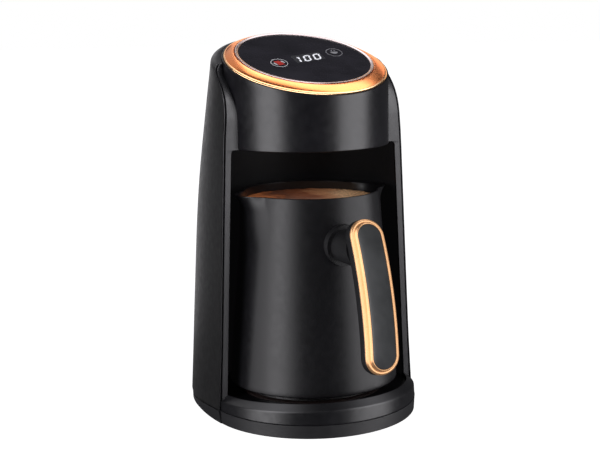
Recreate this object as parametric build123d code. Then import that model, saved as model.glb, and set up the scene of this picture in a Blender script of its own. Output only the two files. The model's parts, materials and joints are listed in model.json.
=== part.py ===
from build123d import *
import math
import os

# Electric Turkish coffee maker: counter-top machine with a lift-out pot.
# Millimetres, +Z up, front towards -Y. The origin is on the table, on the pot's axis.

# ---------------------------------------------------------------- driving dimensions
BAND_R0 = 69.7           # lower band's front disc where it meets the underside
BAND_R1 = 70.2           # the same disc at the band's top edge
BAND_Z0 = 0.8
BAND_Z1 = 9.4            # the band's top edge at the front
BAND_Z2 = 2.8            # the band's top edge at the back
BAND_Y1, BAND_Y2 = -10.0, 42.0   # the edge slopes down between these
SPLIT = 0.5              # gap between the band and the shell above it
RING_Z0 = 9.9
RECESS_R = 64.2
RECESS_Z = 17.0
COLLAR_TILT = 3.27       # the collar's upper edge is higher in front than beside the strips
COLLAR_Y = -1.0

FRONT_Y = -12.0          # flat front face of the body
FRAME_T = 1.8
SEAM = 0.5
WALL = 2.4
STRIP_IN = 1.45          # the strips' outer edge, in from the body's outer surface
EDGE_T = 0.7             # thin front edge of the shell beside the strips
EDGE_BACK = 0.4          # how far that edge stays behind the strips' face

HEAD_Y = 3.06            # centre of the head cylinder
HEAD_R = 54.43
HEAD_Z = 180.0
TOP_Z = 232.8            # ring plane height on the head's axis
TOP_TAN = 0.3282         # slope of the ring plane, rising to the back
RING_R = 53.45
GLASS_R = 43.29
GLASS_Y = 4.44
GLASS_RISE = 3.26

NICHE_W0 = 64.3          # half width of the niche at z = 15.5
NICHE_W1 = 57.4          # half width of the niche at z = 180
NICHE_Z0 = 15.5
NICHE_Z1 = 180.0
LINER_T = 1.8

POT_X, POT_Y = 1.0, -0.8  # the pot's axis
POT_R0 = 56.5            # pot outside, bottom
POT_Z0 = 23.0
POT_R1 = 45.1            # pot outside, rim
POT_Z1 = 149.84
POT_T = 1.2
SPOUT_R = 54.2
TURN = 3.39              # the pot stands turned by this angle about its axis

GRIP_R1, GRIP_Z1 = 78.73, 129.9   # centre of the grip's upper end arc
GRIP_R2, GRIP_Z2 = 97.23, 59.1   # centre of the grip's lower end arc
GRIP_W = 11.3
GRIP_BOW = 3.4
GRIP_BACK = 9.7
INSERT_W = 7.9
INSERT_H = 4.8
STUB_R = 10.7
STUB_Z = 120.0

PLATE_R = 46.0
PLATE_Z = 20.0
SENSOR_R = 4.6

# outer body sections: height at y = HEAD_Y, slope, half width, y of the widest point, back y, exponent
SECTIONS = [
    (2.0, 0.0, 70.75, -12.0, 105.05, 3.46),
    (45.0, 0.0, 68.3, -12.0, 104.8, 3.40),
    (85.0, 0.0, 66.6, -12.0, 103.0, 3.30),
    (125.0, 0.0, 65.0, -12.0, 100.0, 3.20),
    (160.0, 0.0, 63.6, -11.0, 94.4, 3.02),
    (187.0, 0.06, 62.5, -8.0, 85.4, 2.77),
    (206.0, 0.17, 61.3, -4.0, 77.8, 2.56),
    (219.0, 0.27, 60.65, 0.0, 70.5, 2.38),
    (226.6, 0.3282, 60.45, 3.06, 64.6, 2.25),
    (229.2, 0.3282, 59.3, 3.06, 62.0, 2.20),
    (230.6, 0.3282, 57.6, 3.06, 60.0, 2.10),
    (231.1, 0.3100, 53.4, 3.06, 56.46, 2.00),
]
# the band's outline at its lower edge, from the front on one side to the middle of the back
BAND_PTS = [(69.2, -12.0), (70.7, -3.0), (71.7, 8.0), (72.0, 20.0), (71.2, 37.0), (68.4, 53.0),
            (62.6, 70.5), (55.0, 86.0), (44.3, 95.9), (30.0, 101.5), (0.0, 103.5)]
# front face: y as a function of z above z = 198, where it leans back beside the ring
FACE = [(-12.0, 198.0), (-10.8, 207.0), (-7.1, 214.6), (-2.1, 220.0), (4.2, 225.0),
        (9.0, 229.5), (13.0, 236.0), (17.0, 243.0), (22.0, 252.0)]


# ---------------------------------------------------------------- helpers
def monotone(xs, ys):
    """Monotone cubic interpolation through the points, returned as a function."""
    n = len(xs)
    h = [xs[i + 1] - xs[i] for i in range(n - 1)]
    d = [(ys[i + 1] - ys[i]) / h[i] for i in range(n - 1)]
    m = [0.0] * n
    for i in range(1, n - 1):
        if d[i - 1] * d[i] > 0:
            w1, w2 = 2 * h[i] + h[i - 1], h[i] + 2 * h[i - 1]
            m[i] = (w1 + w2) / (w1 / d[i - 1] + w2 / d[i])
    m[0], m[-1] = d[0], d[-1]

    def f(x):
        i = 0
        while i < n - 2 and x > xs[i + 1]:
            i += 1
        t = (x - xs[i]) / h[i]
        return ((2 * t**3 - 3 * t**2 + 1) * ys[i] + (t**3 - 2 * t**2 + t) * h[i] * m[i]
                + (-2 * t**3 + 3 * t**2) * ys[i + 1] + (t**3 - t**2) * h[i] * m[i + 1])
    return f


SEC_F = [monotone(list(range(len(SECTIONS))), [r[k] for r in SECTIONS]) for k in range(6)]


def section_wire(s, inset=0.0, drop=0.0, front=-26.0, n_pts=17):
    zr, tl, a, y0, back, ex = [f(s) for f in SEC_F]
    a, back, zr = a - inset, back - inset, zr - drop
    pts = []
    for i in range(n_pts):
        t = math.pi * i / (n_pts - 1)
        c, q = math.cos(t), math.sin(t)
        x = a * math.copysign(abs(c) ** (2 / ex), c)
        y = y0 + (back - y0) * abs(q) ** (2 / ex)
        pts.append(Vector(x, y, zr + tl * (y - HEAD_Y)))
    zf = zr + tl * (front - HEAD_Y)
    p0, p1 = Vector(a, front, zf), Vector(-a, front, zf)
    d = Vector(0, 1, tl)
    curve = Edge.make_spline(pts, tangents=[d, d * -1])
    return Wire([Edge.make_line(p0, pts[0]), curve, Edge.make_line(pts[-1], p1), Edge.make_line(p1, p0)])


def body_solid(inset=0.0, drop=0.0, s_list=None, front=-26.0):
    s_list = s_list or [0, 1, 2, 3, 4, 4.5, 5, 5.5, 6, 6.5, 7, 7.5, 8, 8.5, 9, 9.5, 10, 10.5, 11]
    return Solid.make_loft([section_wire(s, inset, drop, front) for s in s_list], False)


def face_profile(offset):
    """Everything in front of the body's front face moved back by offset, as a block."""
    pts = [Vector(0, y + offset, z) for y, z in FACE]
    sp = Edge.make_spline(pts, tangents=[Vector(0, 0, 1), Vector(0, 5, 9)])
    a = Vector(0, FRONT_Y + offset, -20)
    b = Vector(0, -160, -20)
    c = Vector(0, -160, 252)
    w = Wire([Edge.make_line(a, pts[0]), sp, Edge.make_line(pts[-1], c), Edge.make_line(c, b), Edge.make_line(b, a)])
    f = Face(w)
    return extrude(f, amount=100, dir=(1, 0, 0)) + extrude(f, amount=100, dir=(-1, 0, 0))


TOP = Plane(origin=(0, HEAD_Y, TOP_Z), x_dir=(1, 0, 0),
            z_dir=(0, -TOP_TAN / math.hypot(1, TOP_TAN), 1 / math.hypot(1, TOP_TAN)))
COS = 1 / math.hypot(1, TOP_TAN)


def tilted(rx, n0, n1, shift=0.0, r_extra=0.0):
    """Upright-section ellipse in the ring plane, extruded along the plane's normal from n0 to n1."""
    pl = TOP.offset(n0)
    with BuildSketch(pl) as s:
        with Locations((0, shift)):
            Ellipse(rx + r_extra, rx / COS + r_extra)
    return extrude(s.sketch, amount=n1 - n0)


def below_top(offset):
    """Half space below the ring plane moved by offset along its normal."""
    pl = TOP.offset(offset)
    with BuildSketch(pl) as s:
        Rectangle(400, 400)
    return extrude(s.sketch, amount=-400)


def cyl(x, y, z0, z1, r):
    return Pos(x, y, (z0 + z1) / 2) * Cylinder(r, z1 - z0)


def block(x0, x1, y0, y1, z0, z1):
    return Pos((x0 + x1) / 2, (y0 + y1) / 2, (z0 + z1) / 2) * Box(x1 - x0, y1 - y0, z1 - z0)


def revolved(points):
    """Closed (r, z) polygon turned about the Z axis."""
    w = Polyline(*[(r, 0, z) for r, z in points], close=True)
    f = Face(Wire(w.edges()))
    return revolve(f, axis=Axis.Z, revolution_arc=360)


def as_one(shape):
    """Plain solid when the result holds just one."""
    s = shape.solids()
    return s[0] if len(s) == 1 else Compound(children=list(s))


PARTS = {}


def keep(name, shape):
    PARTS[name] = as_one(shape)


# ---------------------------------------------------------------- base
# bottom cover: lower band and floor in one moulding
def band_top(inset, z):
    return section_wire(0, inset, 2.0 - z)


def band_low(inset, z):
    """Lower outline of the band, moved inwards by inset, closed with a straight line in front."""
    right = BAND_PTS
    full = right + [(-x, y) for x, y in reversed(right[:-1])]
    n = len(full)
    pts = []
    for i in range(n):
        a, b = full[max(i - 1, 0)], full[min(i + 1, n - 1)]
        dx, dy = b[0] - a[0], b[1] - a[1]
        if i in (0, n - 1):
            dx, dy = 0.0, (1.0 if i == 0 else -1.0)
        L = math.hypot(dx, dy)
        pts.append(Vector(full[i][0] - inset * dy / L, full[i][1] + inset * dx / L, z))
    p0, p1 = Vector(pts[0].X, -26.0, z), Vector(pts[-1].X, -26.0, z)
    curve = Edge.make_spline(pts, tangents=[Vector(0.15, 1, 0), Vector(0.15, -1, 0)])
    return Wire([Edge.make_line(p0, pts[0]), curve, Edge.make_line(pts[-1], p1), Edge.make_line(p1, p0)])


def above_split(gap):
    """Everything above the sloping split line raised by gap."""
    pts = [(-100.0, BAND_Z1 + gap), (BAND_Y1, BAND_Z1 + gap), (BAND_Y2, BAND_Z2 + gap), (130.0, BAND_Z2 + gap), (130.0, 300.0), (-100.0, 300.0)]
    f = Face(Wire(Polyline(*[(0, y, z) for y, z in pts], close=True).edges()))
    return extrude(f, amount=100, dir=(1, 0, 0)) + extrude(f, amount=100, dir=(-1, 0, 0))


rear_band = Solid.make_loft([band_low(0.0, BAND_Z0), band_top(0.0, BAND_Z1)], True)
rear_band = rear_band & block(-90, 90, -12.0, 120, -1, 12)
front_band = revolved([(0, BAND_Z0), (BAND_R0, BAND_Z0), (BAND_R1, BAND_Z1), (0, BAND_Z1)]) & block(-90, 90, -90, -11.9, -1, 12)
band = front_band + rear_band
rear_in = Solid.make_loft([band_low(2.2, BAND_Z0 + 2.0), band_top(2.6, BAND_Z1 + 1)], True)
rear_in = rear_in & block(-90, 90, -12.0, 120, -1, 12)
front_in = revolved([(0, BAND_Z0 + 2.0), (BAND_R0 - 1.9, BAND_Z0 + 2.0), (BAND_R1 - 2.0, BAND_Z1 + 1), (0, BAND_Z1 + 1)]) & block(-90, 90, -90, -11.9, -1, 12)
cover = band - (rear_in + front_in)
cover = cover - above_split(0.0)
FEET = [(-44, -38), (44, -38), (-46, 78), (46, 78)]
for fx, fy in FEET:
    cover -= cyl(fx, fy, BAND_Z0 - 1, BAND_Z0 + 1.0, 7.2)
SCREWS = [(-56, 8), (56, 8), (0, -56), (0, 92)]
for sx, sy in SCREWS:
    cover += cyl(sx, sy, BAND_Z0 + 1.0, BAND_Z1 - 0.2, 4.2)
for sx, sy in SCREWS:
    cover -= cyl(sx, sy, BAND_Z0 - 1, BAND_Z0 + 3.0, 3.4)
    cover -= cyl(sx, sy, BAND_Z0 - 1, 12, 1.7)
for i in range(7):
    cover -= block(-26, 26, 44 + 5.0 * i, 46.4 + 5.0 * i, -1, 4)
keep("bottom_cover", cover)

feet = []
for fx, fy in FEET:
    feet.append(cyl(fx, fy, 0, BAND_Z0 + 0.95, 7.0))
PARTS["rubber_feet"] = Compound(children=feet)

screws = []
for sx, sy in SCREWS:
    screws.append((cyl(sx, sy, BAND_Z0 + 1.0, BAND_Z0 + 2.95, 3.1) + cyl(sx, sy, BAND_Z0 + 2.9, 13.2, 1.45)).solids()[0])
PARTS["base_screws"] = Compound(children=screws)

# base ring: sloping collar round the pot, with the recess floor
def leaning(profile):
    """A turned solid whose axis leans back with the collar, in front of the strips' back only."""
    return Pos(0, COLLAR_Y, 0) * Rot(-COLLAR_TILT, 0, 0) * revolved(profile) & block(-90, 90, -90, -9.0, -30, 90)


ring = revolved([(48.4, RECESS_Z), (RECESS_R, RECESS_Z), (RECESS_R + 0.1, 24.5), (69.35, 24.5), (70.0, RING_Z0), (68.6, RING_Z0),
                 (68.4, 12.6), (63.8, 14.2), (62.0, 15.3), (48.4, 15.2)])
ring -= leaning([(50, 18.8), (64.8, 18.8), (69.2, 15.2), (69.55, 14.8), (69.9, 13.9), (80, 13.9), (80, 60), (50, 60)])
ring -= (block(-90, 90, FRONT_Y + FRAME_T, 90, 0, 30) - cyl(0, 0, -1, 40, 63.6))
for sx, sy in SCREWS[:3]:
    ring += cyl(sx, sy, BAND_Z1 + 0.1, 15.9, 4.0)
    ring -= cyl(sx, sy, 0, 13.6, 1.55)
keep("base_ring", ring)

# ---------------------------------------------------------------- body shells
outer = body_solid()
inner = body_solid(WALL, WALL)
head_hole = cyl(0, HEAD_Y, 182.5, 300, HEAD_R + 0.27)
shell = outer - inner - face_profile(FRAME_T + SEAM) - head_hole
edge = (outer - body_solid(EDGE_T, EDGE_T) - face_profile(EDGE_BACK) - head_hole) & face_profile(FRAME_T + SEAM + 0.6)
shell = shell + edge
shell = shell & above_split(SPLIT)
CORD_Z, CORD_Y = 26.0, 105.0
shell -= Pos(0, CORD_Y - 4, CORD_Z) * Rot(90, 0, 0) * Cylinder(7.0, 16)
boss = cyl(0, 92, 9.9, 16.5, 4.2) - cyl(0, 92, 0, 15.0, 1.55)
web = block(-1.2, 1.2, 95.8, 103.4, 10.4, 16.0)
shell = shell + boss + web
keep("rear_shell", shell)

niche_cut = Solid.make_loft([
    Wire(Polyline((-NICHE_W0, -60, NICHE_Z0), (NICHE_W0, -60, NICHE_Z0), (NICHE_W0, 10, NICHE_Z0), (-NICHE_W0, 10, NICHE_Z0), close=True).edges()),
    Wire(Polyline((-NICHE_W1, -60, NICHE_Z1), (NICHE_W1, -60, NICHE_Z1), (NICHE_W1, 10, NICHE_Z1), (-NICHE_W1, 10, NICHE_Z1), close=True).edges())], True)
frame = body_solid(STRIP_IN, STRIP_IN) & face_profile(FRAME_T) & block(-90, 90, -60, 60, 9.9, 300)
frame = frame - face_profile(0.0) - niche_cut - cyl(0, HEAD_Y, 170, 300, HEAD_R + 0.12)
frame = frame - leaning([(0, -20), (80, -20), (80, 6.45), (64.8, 18.9), (0, 18.9)])
for half in frame.solids():
    keep("front_strip_left" if half.center().X < 0 else "front_strip_right", half)


def u_wire(w, y_front, z):
    a = Vector(w, y_front, z)
    b = Vector(w, 0, z)
    c = Vector(0, w, z)
    d = Vector(-w, 0, z)
    e = Vector(-w, y_front, z)
    return Wire([Edge.make_line(a, b), Edge.make_three_point_arc(b, c, d), Edge.make_line(d, e), Edge.make_line(e, a)])


def half_w(z):
    return NICHE_W0 + (NICHE_W1 - NICHE_W0) * (z - NICHE_Z0) / (NICHE_Z1 - NICHE_Z0)


LY = FRONT_Y + FRAME_T + 0.05
liner_out = Solid.make_loft([u_wire(half_w(NICHE_Z0) + LINER_T, LY, NICHE_Z0), u_wire(half_w(NICHE_Z1) + LINER_T, LY, NICHE_Z1 + 2.0)], True)
liner_in = Solid.make_loft([u_wire(half_w(NICHE_Z0 - 1), LY - 10, NICHE_Z0 - 1), u_wire(half_w(NICHE_Z1), LY - 10, NICHE_Z1)], True)
liner = liner_out - liner_in - cyl(0, HEAD_Y, 170, 190, HEAD_R + 0.12)
keep("niche_liner", liner)

# head cover: the drum above the niche, cut off by the sloping ring plane
drum = cyl(0, HEAD_Y, HEAD_Z, 270, HEAD_R) - cyl(0, HEAD_Y, HEAD_Z - 1, 271, HEAD_R - 2.2)
drum = drum & below_top(-0.1)
keep("head_cover", drum)

plate = cyl(0, HEAD_Y, HEAD_Z + 0.6, HEAD_Z + 2.8, HEAD_R - 2.3)
SENS_Y = 3.0
plate -= cyl(0, SENS_Y, 170, 200, 7.1)
for i in range(3):
    a = math.radians(90 + 120 * i)
    plate -= cyl(38 * math.cos(a), HEAD_Y + 38 * math.sin(a), 170, 200, 1.7)
for i in range(-2, 3):
    plate -= block(-30, -16, HEAD_Y + 5.0 * i - 1, HEAD_Y + 5.0 * i + 1, 170, 190)
    plate -= block(16, 30, HEAD_Y + 5.0 * i - 1, HEAD_Y + 5.0 * i + 1, 170, 190)
keep("head_underside", plate)

und = []
for i in range(3):
    a = math.radians(90 + 120 * i)
    px, py = 38 * math.cos(a), HEAD_Y + 38 * math.sin(a)
    und.append((cyl(px, py, HEAD_Z - 1.0, HEAD_Z + 0.6, 3.0) + cyl(px, py, HEAD_Z + 0.5, HEAD_Z + 9, 1.4)).solids()[0])
PARTS["head_screws"] = Compound(children=und)

lens = cyl(0, SENS_Y, HEAD_Z - 0.4, HEAD_Z + 2.6, 7.0)
keep("sensor_window", lens)
eye = cyl(0, SENS_Y, HEAD_Z + 3.0, HEAD_Z + 4.6, 12.0) + cyl(0, SENS_Y, HEAD_Z + 4.5, HEAD_Z + 12, 5.0)
keep("boil_sensor", eye)

# ---------------------------------------------------------------- control panel
r_out = tilted(51.4, -1.6, 0.05)
bev = loft([
    (TOP.offset(0.0) * Ellipse(RING_R, RING_R / COS)).face(),
    (TOP.offset(3.05) * (Pos(0, 2.35) * Ellipse(45.95, 45.95 / COS))).face()], ruled=True)
ringt = (r_out + bev) - tilted(45.55, -3, 6, 2.4)
ringt = ringt - tilted(50.5, -3, -0.2)
keep("trim_ring", ringt)
lip = tilted(45.50, -1.2, 3.6, 2.4) - tilted(GLASS_R + 0.05, -3, 6, 2.45)
keep("trim_lip", lip)
glass = tilted(GLASS_R, 1.1, 3.1, 2.45)
keep("touch_panel", glass)
carrier = tilted(50.4, -5.35, -0.25) & cyl(0, HEAD_Y, 150, 300, HEAD_R - 2.35)
carrier = carrier - tilted(43.8, -1.25, 0, 2.4) - tilted(40.0, -6, 0, 2.4)
carrier = carrier - tilted(45.6, -1.3, 0, 2.4)
keep("panel_carrier", carrier)
board = tilted(42.5, -7.0, -5.4, 1.5)
keep("control_board", board)
disp = TOP.offset(-5.35) * (Pos(2.5, 1.5, 3.1) * Box(30, 15, 6.2))
keep("display_module", disp)


def coil(r, wire, turns, height):
    path = Edge.make_helix(pitch=height / turns, height=height, radius=r)
    prof = Plane(origin=path @ 0, z_dir=path % 0) * Circle(wire)
    return sweep(prof, path=path, is_frenet=True)


tsp = []
for px, py in [(-20.0, -5.0), (25.5, 12.0)]:
    tsp.append((TOP.offset(-5.0) * (Pos(px, py) * coil(3.4, 0.35, 4, 5.6))).solids()[0])
PARTS["touch_springs"] = Compound(children=tsp)
buz = TOP.offset(-7.05) * (Pos(-14, -20, -3.6) * Cylinder(6.0, 7.2))
keep("buzzer", buz)
mcu = TOP.offset(-7.05) * (Pos(6, -6, -0.8) * Box(10, 10, 1.6))
keep("controller_chip", mcu)

# ---------------------------------------------------------------- power electronics behind the niche
pb = block(-28, 28, 71.0, 72.6, 32, 128)
for px in (-24, 24):
    for pz in (37, 123):
        pb -= Pos(px, 71.8, pz) * Rot(90, 0, 0) * Cylinder(1.7, 6)
keep("power_board", pb)
sp = []
for px in (-24, 24):
    for pz in (37, 123):
        post = Pos(px, 67.0, pz) * Rot(90, 0, 0) * Cylinder(3.0, 7.9)
        post = post & block(-60, 60, 50, 70.95, 0, 200)
        post -= liner_out
        post -= Pos(px, 67.0, pz) * Rot(90, 0, 0) * Cylinder(1.1, 30)
        sp.append(post.solids().sort_by(SortBy.VOLUME)[-1])
PARTS["board_spacers"] = Compound(children=sp)
bs = []
for px in (-24, 24):
    for pz in (37, 123):
        s = Pos(px, 73.6, pz) * Rot(90, 0, 0) * Cylinder(2.7, 1.9) + Pos(px, 70.7, pz) * Rot(90, 0, 0) * Cylinder(1.05, 5.0)
        bs.append(s.solids()[0])
PARTS["board_screws"] = Compound(children=bs)
keep("transformer", block(-20, 8, 72.65, 92.0, 82, 106) + block(-17, 5, 72.65, 94.0, 78, 110))
keep("heater_relay", block(8, 27, 72.65, 88.0, 52, 68))
keep("filter_capacitor", Pos(-16, 80.7, 60) * Cylinder(8.0, 24))
keep("terminal_block", block(-12, 12, 72.65, 82.0, 34, 44))

# ribbon between the power board and the control board, in straight folded runs
RIB = [(73.0, 112.0), (73.0, 176.0), (66.0, 190.0), (60.0, 197.0)]
rib = RIB + [(y + 0.35, z + 0.2) for y, z in reversed(RIB)]
rf = Face(Wire(Polyline(*[(0, y, z) for y, z in rib], close=True).edges()))
keep("ribbon_cable", extrude(rf, amount=9, dir=(1, 0, 0)) + extrude(rf, amount=9, dir=(-1, 0, 0)))

def along_y(y0, y1, r, z=CORD_Z):
    return Pos(0, (y0 + y1) / 2, z) * Rot(90, 0, 0) * Cylinder(r, y1 - y0)


gl = along_y(97.6, 106.4, 6.9) + along_y(105.1, 106.4, 9.0) + along_y(97.6, 100.6, 8.6)
gl -= along_y(90, 120, 3.3)
keep("cord_gland", gl)

# ---------------------------------------------------------------- hot plate
hp = revolved(
    [(5.0, PLATE_Z), (PLATE_R - 0.6, PLATE_Z), (PLATE_R, PLATE_Z - 0.6), (PLATE_R, 14.0), (5.0, 14.0)])
keep("heating_plate", hp)
keep("plate_seal", revolved([(PLATE_R + 0.02, 14.6), (48.35, 14.6), (48.35, 17.6), (PLATE_R + 0.02, 18.4)]) - revolved(
    [(48.38, 14), (60, 14), (60, 19), (48.38, 19)]))
el = Pos(0, 0, 11.2) * Torus(33.0, 2.75)
el = el - (Pos(0, 33, 11.2) * Box(16, 20, 10))
for sx in (-1, 1):
    ang = math.asin(8.0 / 33.0)
    tx, ty = 8.0 * sx, 33.0 * math.cos(ang)
    el += Pos(tx, ty + 6.0, 11.2) * Rot(90, 0, 0) * Cylinder(2.0, 14.0)
keep("heating_element", el)
car = cyl(0, 0, 4.4, 6.0, 24.0) - cyl(0, 0, 0, 8, 2.05)
for i in range(3):
    a = math.radians(30 + 120 * i)
    x, y = 20 * math.cos(a), 20 * math.sin(a)
    car += cyl(x, y, 5.9, 13.98, 2.6)
keep("plate_carrier", car)
plunger = revolved([(0, PLATE_Z), (SENSOR_R - 0.4, PLATE_Z), (SENSOR_R, PLATE_Z - 0.4), (SENSOR_R, 13.4), (6.2, 13.4), (6.2, 12.4), (2.0, 12.4),
                    (2.0, 4.3), (0, 4.3)])
keep("sensor_plunger", plunger)
spring = Pos(0, 0, 6.45) * coil(4.1, 0.4, 4.5, 5.5)
keep("sensor_spring", spring)
keep("thermal_fuse", Pos(-14, 0, 12.4) * Rot(0, 0, 0) * (Rot(90, 0, 0) * Cylinder(1.5, 12)))

# ---------------------------------------------------------------- pot
def turned(shape):
    return Pos(POT_X, POT_Y, 0) * Rot(0, 0, TURN) * shape


def pot_r(z):
    return POT_R0 + (POT_R1 - POT_R0) * (z - POT_Z0) / (POT_Z1 - POT_Z0)


def spout(sign, shrink, extra):
    pl0 = Plane(origin=(sign * 41.5, 0, 118), z_dir=(0, 0, 1))
    pl1 = Plane(origin=(sign * (SPOUT_R - 10.5), 0, POT_Z1 + extra), z_dir=(0, 0, 1))
    return loft([(pl0 * Circle(4.5 - shrink)).face(), (pl1 * Circle(10.5 - shrink)).face()])


pot_out = revolved([(0, POT_Z0), (POT_R0 - 1.6, POT_Z0), (POT_R0 - 0.25, POT_Z0 + 1.2), (pot_r(POT_Z0 + 3), POT_Z0 + 3), (POT_R1, POT_Z1), (0, POT_Z1)])
pot_in = revolved([(0, POT_Z0 + 1.4), (POT_R0 - 4.0, POT_Z0 + 1.4), (pot_r(POT_Z0 + 5) - POT_T, POT_Z0 + 5), (pot_r(POT_Z1) - POT_T, POT_Z1), (pot_r(POT_Z1) - POT_T, POT_Z1 + 5), (0, POT_Z1 + 5)])
pot = (pot_out + spout(1, 0, 0) + spout(-1, 0, 0)) - (pot_in + spout(1, POT_T, 0.01) + spout(-1, POT_T, 0.01))
keep("pot_body", turned(pot))
keep("pot_base", turned(cyl(0, 0, PLATE_Z + 0.05, POT_Z0 - 0.02, 49.0)))

# grip frame: u runs down the grip, n points away from the pot, t is sideways
A = Vector(0, -GRIP_R1, GRIP_Z1)
B = Vector(0, -GRIP_R2, GRIP_Z2)
U = (B - A).normalized()
N = Vector(0, -1, 0) - U * U.dot(Vector(0, -1, 0))
N = N.normalized()
LEN = (B - A).length
GP = Plane(origin=(A + B) * 0.5, x_dir=U, z_dir=N)


def prism(w, n0, n1):
    with BuildSketch(GP.offset(n0)) as s:
        SlotCenterToCenter(LEN, 2 * w)
    return extrude(s.sketch, amount=n1 - n0)


def bow_arc(off, half=None):
    half = half or (LEN / 2 + GRIP_W + 4)
    k = GRIP_BOW / (LEN / 2) ** 2
    rad = 1 / (2 * k)
    drop = rad - math.sqrt(rad * rad - half * half)
    m = (A + B) * 0.5
    return m - U * half + N * (GRIP_BOW - drop + off), m + N * (GRIP_BOW + off), m + U * half + N * (GRIP_BOW - drop + off)


def band_solid(o0, o1):
    a0, b0, c0 = bow_arc(o0)
    a1, b1, c1 = bow_arc(o1)
    w = Wire([Edge.make_three_point_arc(a0, b0, c0), Edge.make_line(c0, c1), Edge.make_three_point_arc(c1, b1, a1), Edge.make_line(a1, a0)])
    f = Face(w)
    return extrude(f, amount=30, dir=(1, 0, 0)) + extrude(f, amount=30, dir=(-1, 0, 0))


grip = prism(GRIP_W, -20, 12) & band_solid(-GRIP_BACK, -0.02)
try:
    edges = grip.edges().filter_by(lambda e: (e.center() - (A + B) * 0.5).dot(N) < -4.0)
    grip = fillet(edges, 3.0)
except Exception as err:
    print("grip fillet left out:", err)
trim = (prism(GRIP_W, -20, 14) & band_solid(0.0, 1.8)) + (prism(GRIP_W - 1.7, -20, 14) & band_solid(1.75, 3.4)) + (prism(GRIP_W - 2.7, -20, 14) & band_solid(3.35, 4.6))
trim -= prism(INSERT_W + 0.05, -20, 14)
insert = prism(INSERT_W, -20, 14) & band_solid(0.02, INSERT_H)
stub = Pos(0, -58, STUB_Z) * Rot(90, 0, 0) * Cylinder(STUB_R, 44)
collar = Pos(0, -47.5, STUB_Z) * Rot(90, 0, 0) * Cylinder(13.2, 7.0)
stub = (stub + collar) - pot_out - (prism(GRIP_W, -20, 12) & band_solid(-GRIP_BACK, 40)) - (prism(60, -20, 40) & band_solid(-GRIP_BACK, 40))
stub = stub.solids().sort_by(SortBy.VOLUME)[-1]
screw = Pos(0, -63.0, STUB_Z) * Rot(90, 0, 0) * Cylinder(2.0, 26.0)
screw += Pos(0, -76.8, STUB_Z) * Rot(90, 0, 0) * Cylinder(3.7, 2.4)
shole = Pos(0, -63.5, STUB_Z) * Rot(90, 0, 0) * Cylinder(2.05, 29.0)
grip = grip - shole - (Pos(0, -88.0, STUB_Z) * Rot(90, 0, 0) * Cylinder(4.0, 24.8))
stub = stub - shole
keep("grip_body", turned(grip))
keep("grip_trim", turned(trim))
keep("grip_insert", turned(insert))
keep("handle_stub", turned(stub))
keep("handle_screw", turned(screw))

os.makedirs("parts", exist_ok=True)
for name, shape in PARTS.items():
    export_step(shape, f"parts/{name}.step")
print(len(PARTS), "nodes")
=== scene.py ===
import json
import math
import bpy
import numpy as np
from mathutils import Matrix, Vector

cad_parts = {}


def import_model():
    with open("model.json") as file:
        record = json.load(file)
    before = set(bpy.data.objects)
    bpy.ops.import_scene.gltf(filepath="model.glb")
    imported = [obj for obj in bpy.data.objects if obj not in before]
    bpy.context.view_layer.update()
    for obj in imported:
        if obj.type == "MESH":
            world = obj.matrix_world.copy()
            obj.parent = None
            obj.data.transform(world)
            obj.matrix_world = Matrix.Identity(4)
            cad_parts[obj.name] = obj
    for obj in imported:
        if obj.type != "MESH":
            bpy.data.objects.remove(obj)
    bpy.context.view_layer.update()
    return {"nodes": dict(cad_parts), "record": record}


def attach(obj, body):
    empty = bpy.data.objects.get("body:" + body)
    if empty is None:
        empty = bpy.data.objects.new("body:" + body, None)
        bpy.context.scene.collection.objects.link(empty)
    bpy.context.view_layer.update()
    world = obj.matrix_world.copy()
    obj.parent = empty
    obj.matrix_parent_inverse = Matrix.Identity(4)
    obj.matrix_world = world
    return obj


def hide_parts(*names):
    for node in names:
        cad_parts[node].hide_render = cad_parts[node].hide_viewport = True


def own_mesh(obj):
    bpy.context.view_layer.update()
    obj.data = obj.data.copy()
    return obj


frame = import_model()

MM = 0.001
scene = bpy.context.scene
NODES = frame["nodes"]

# ------------------------------------------------------------------ camera
AZ, HC, DH = -0.384072265, 267.155936, 823.103356
PITCH, YAW, ROLL, FPX = 0.175289693, 0.00751105098, -0.0159903354, 1251.37067
a = AZ + YAW
fwd = Vector((-math.sin(a) * math.cos(PITCH), math.cos(a) * math.cos(PITCH), -math.sin(PITCH)))
right = Vector((math.cos(a), math.sin(a), 0))
up = right.cross(fwd)
r2 = right * math.cos(ROLL) + up * math.sin(ROLL)
u2 = -right * math.sin(ROLL) + up * math.cos(ROLL)
cam_data = bpy.data.cameras.new("camera")
cam = bpy.data.objects.new("camera", cam_data)
scene.collection.objects.link(cam)
m = Matrix.Identity(4)
m.col[0][:3], m.col[1][:3], m.col[2][:3] = r2, u2, -fwd
m.translation = Vector((DH * math.sin(AZ), -DH * math.cos(AZ), HC)) * MM
cam.matrix_world = m
cam_data.sensor_width = 36.0
cam_data.lens = FPX / 600.0 * 36.0
cam_data.clip_start, cam_data.clip_end = 0.01, 100.0
scene.camera = cam

scene.view_settings.view_transform = "Standard"
scene.view_settings.look = "None"
scene.view_settings.exposure = 0.0
scene.view_settings.gamma = 1.0

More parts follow.
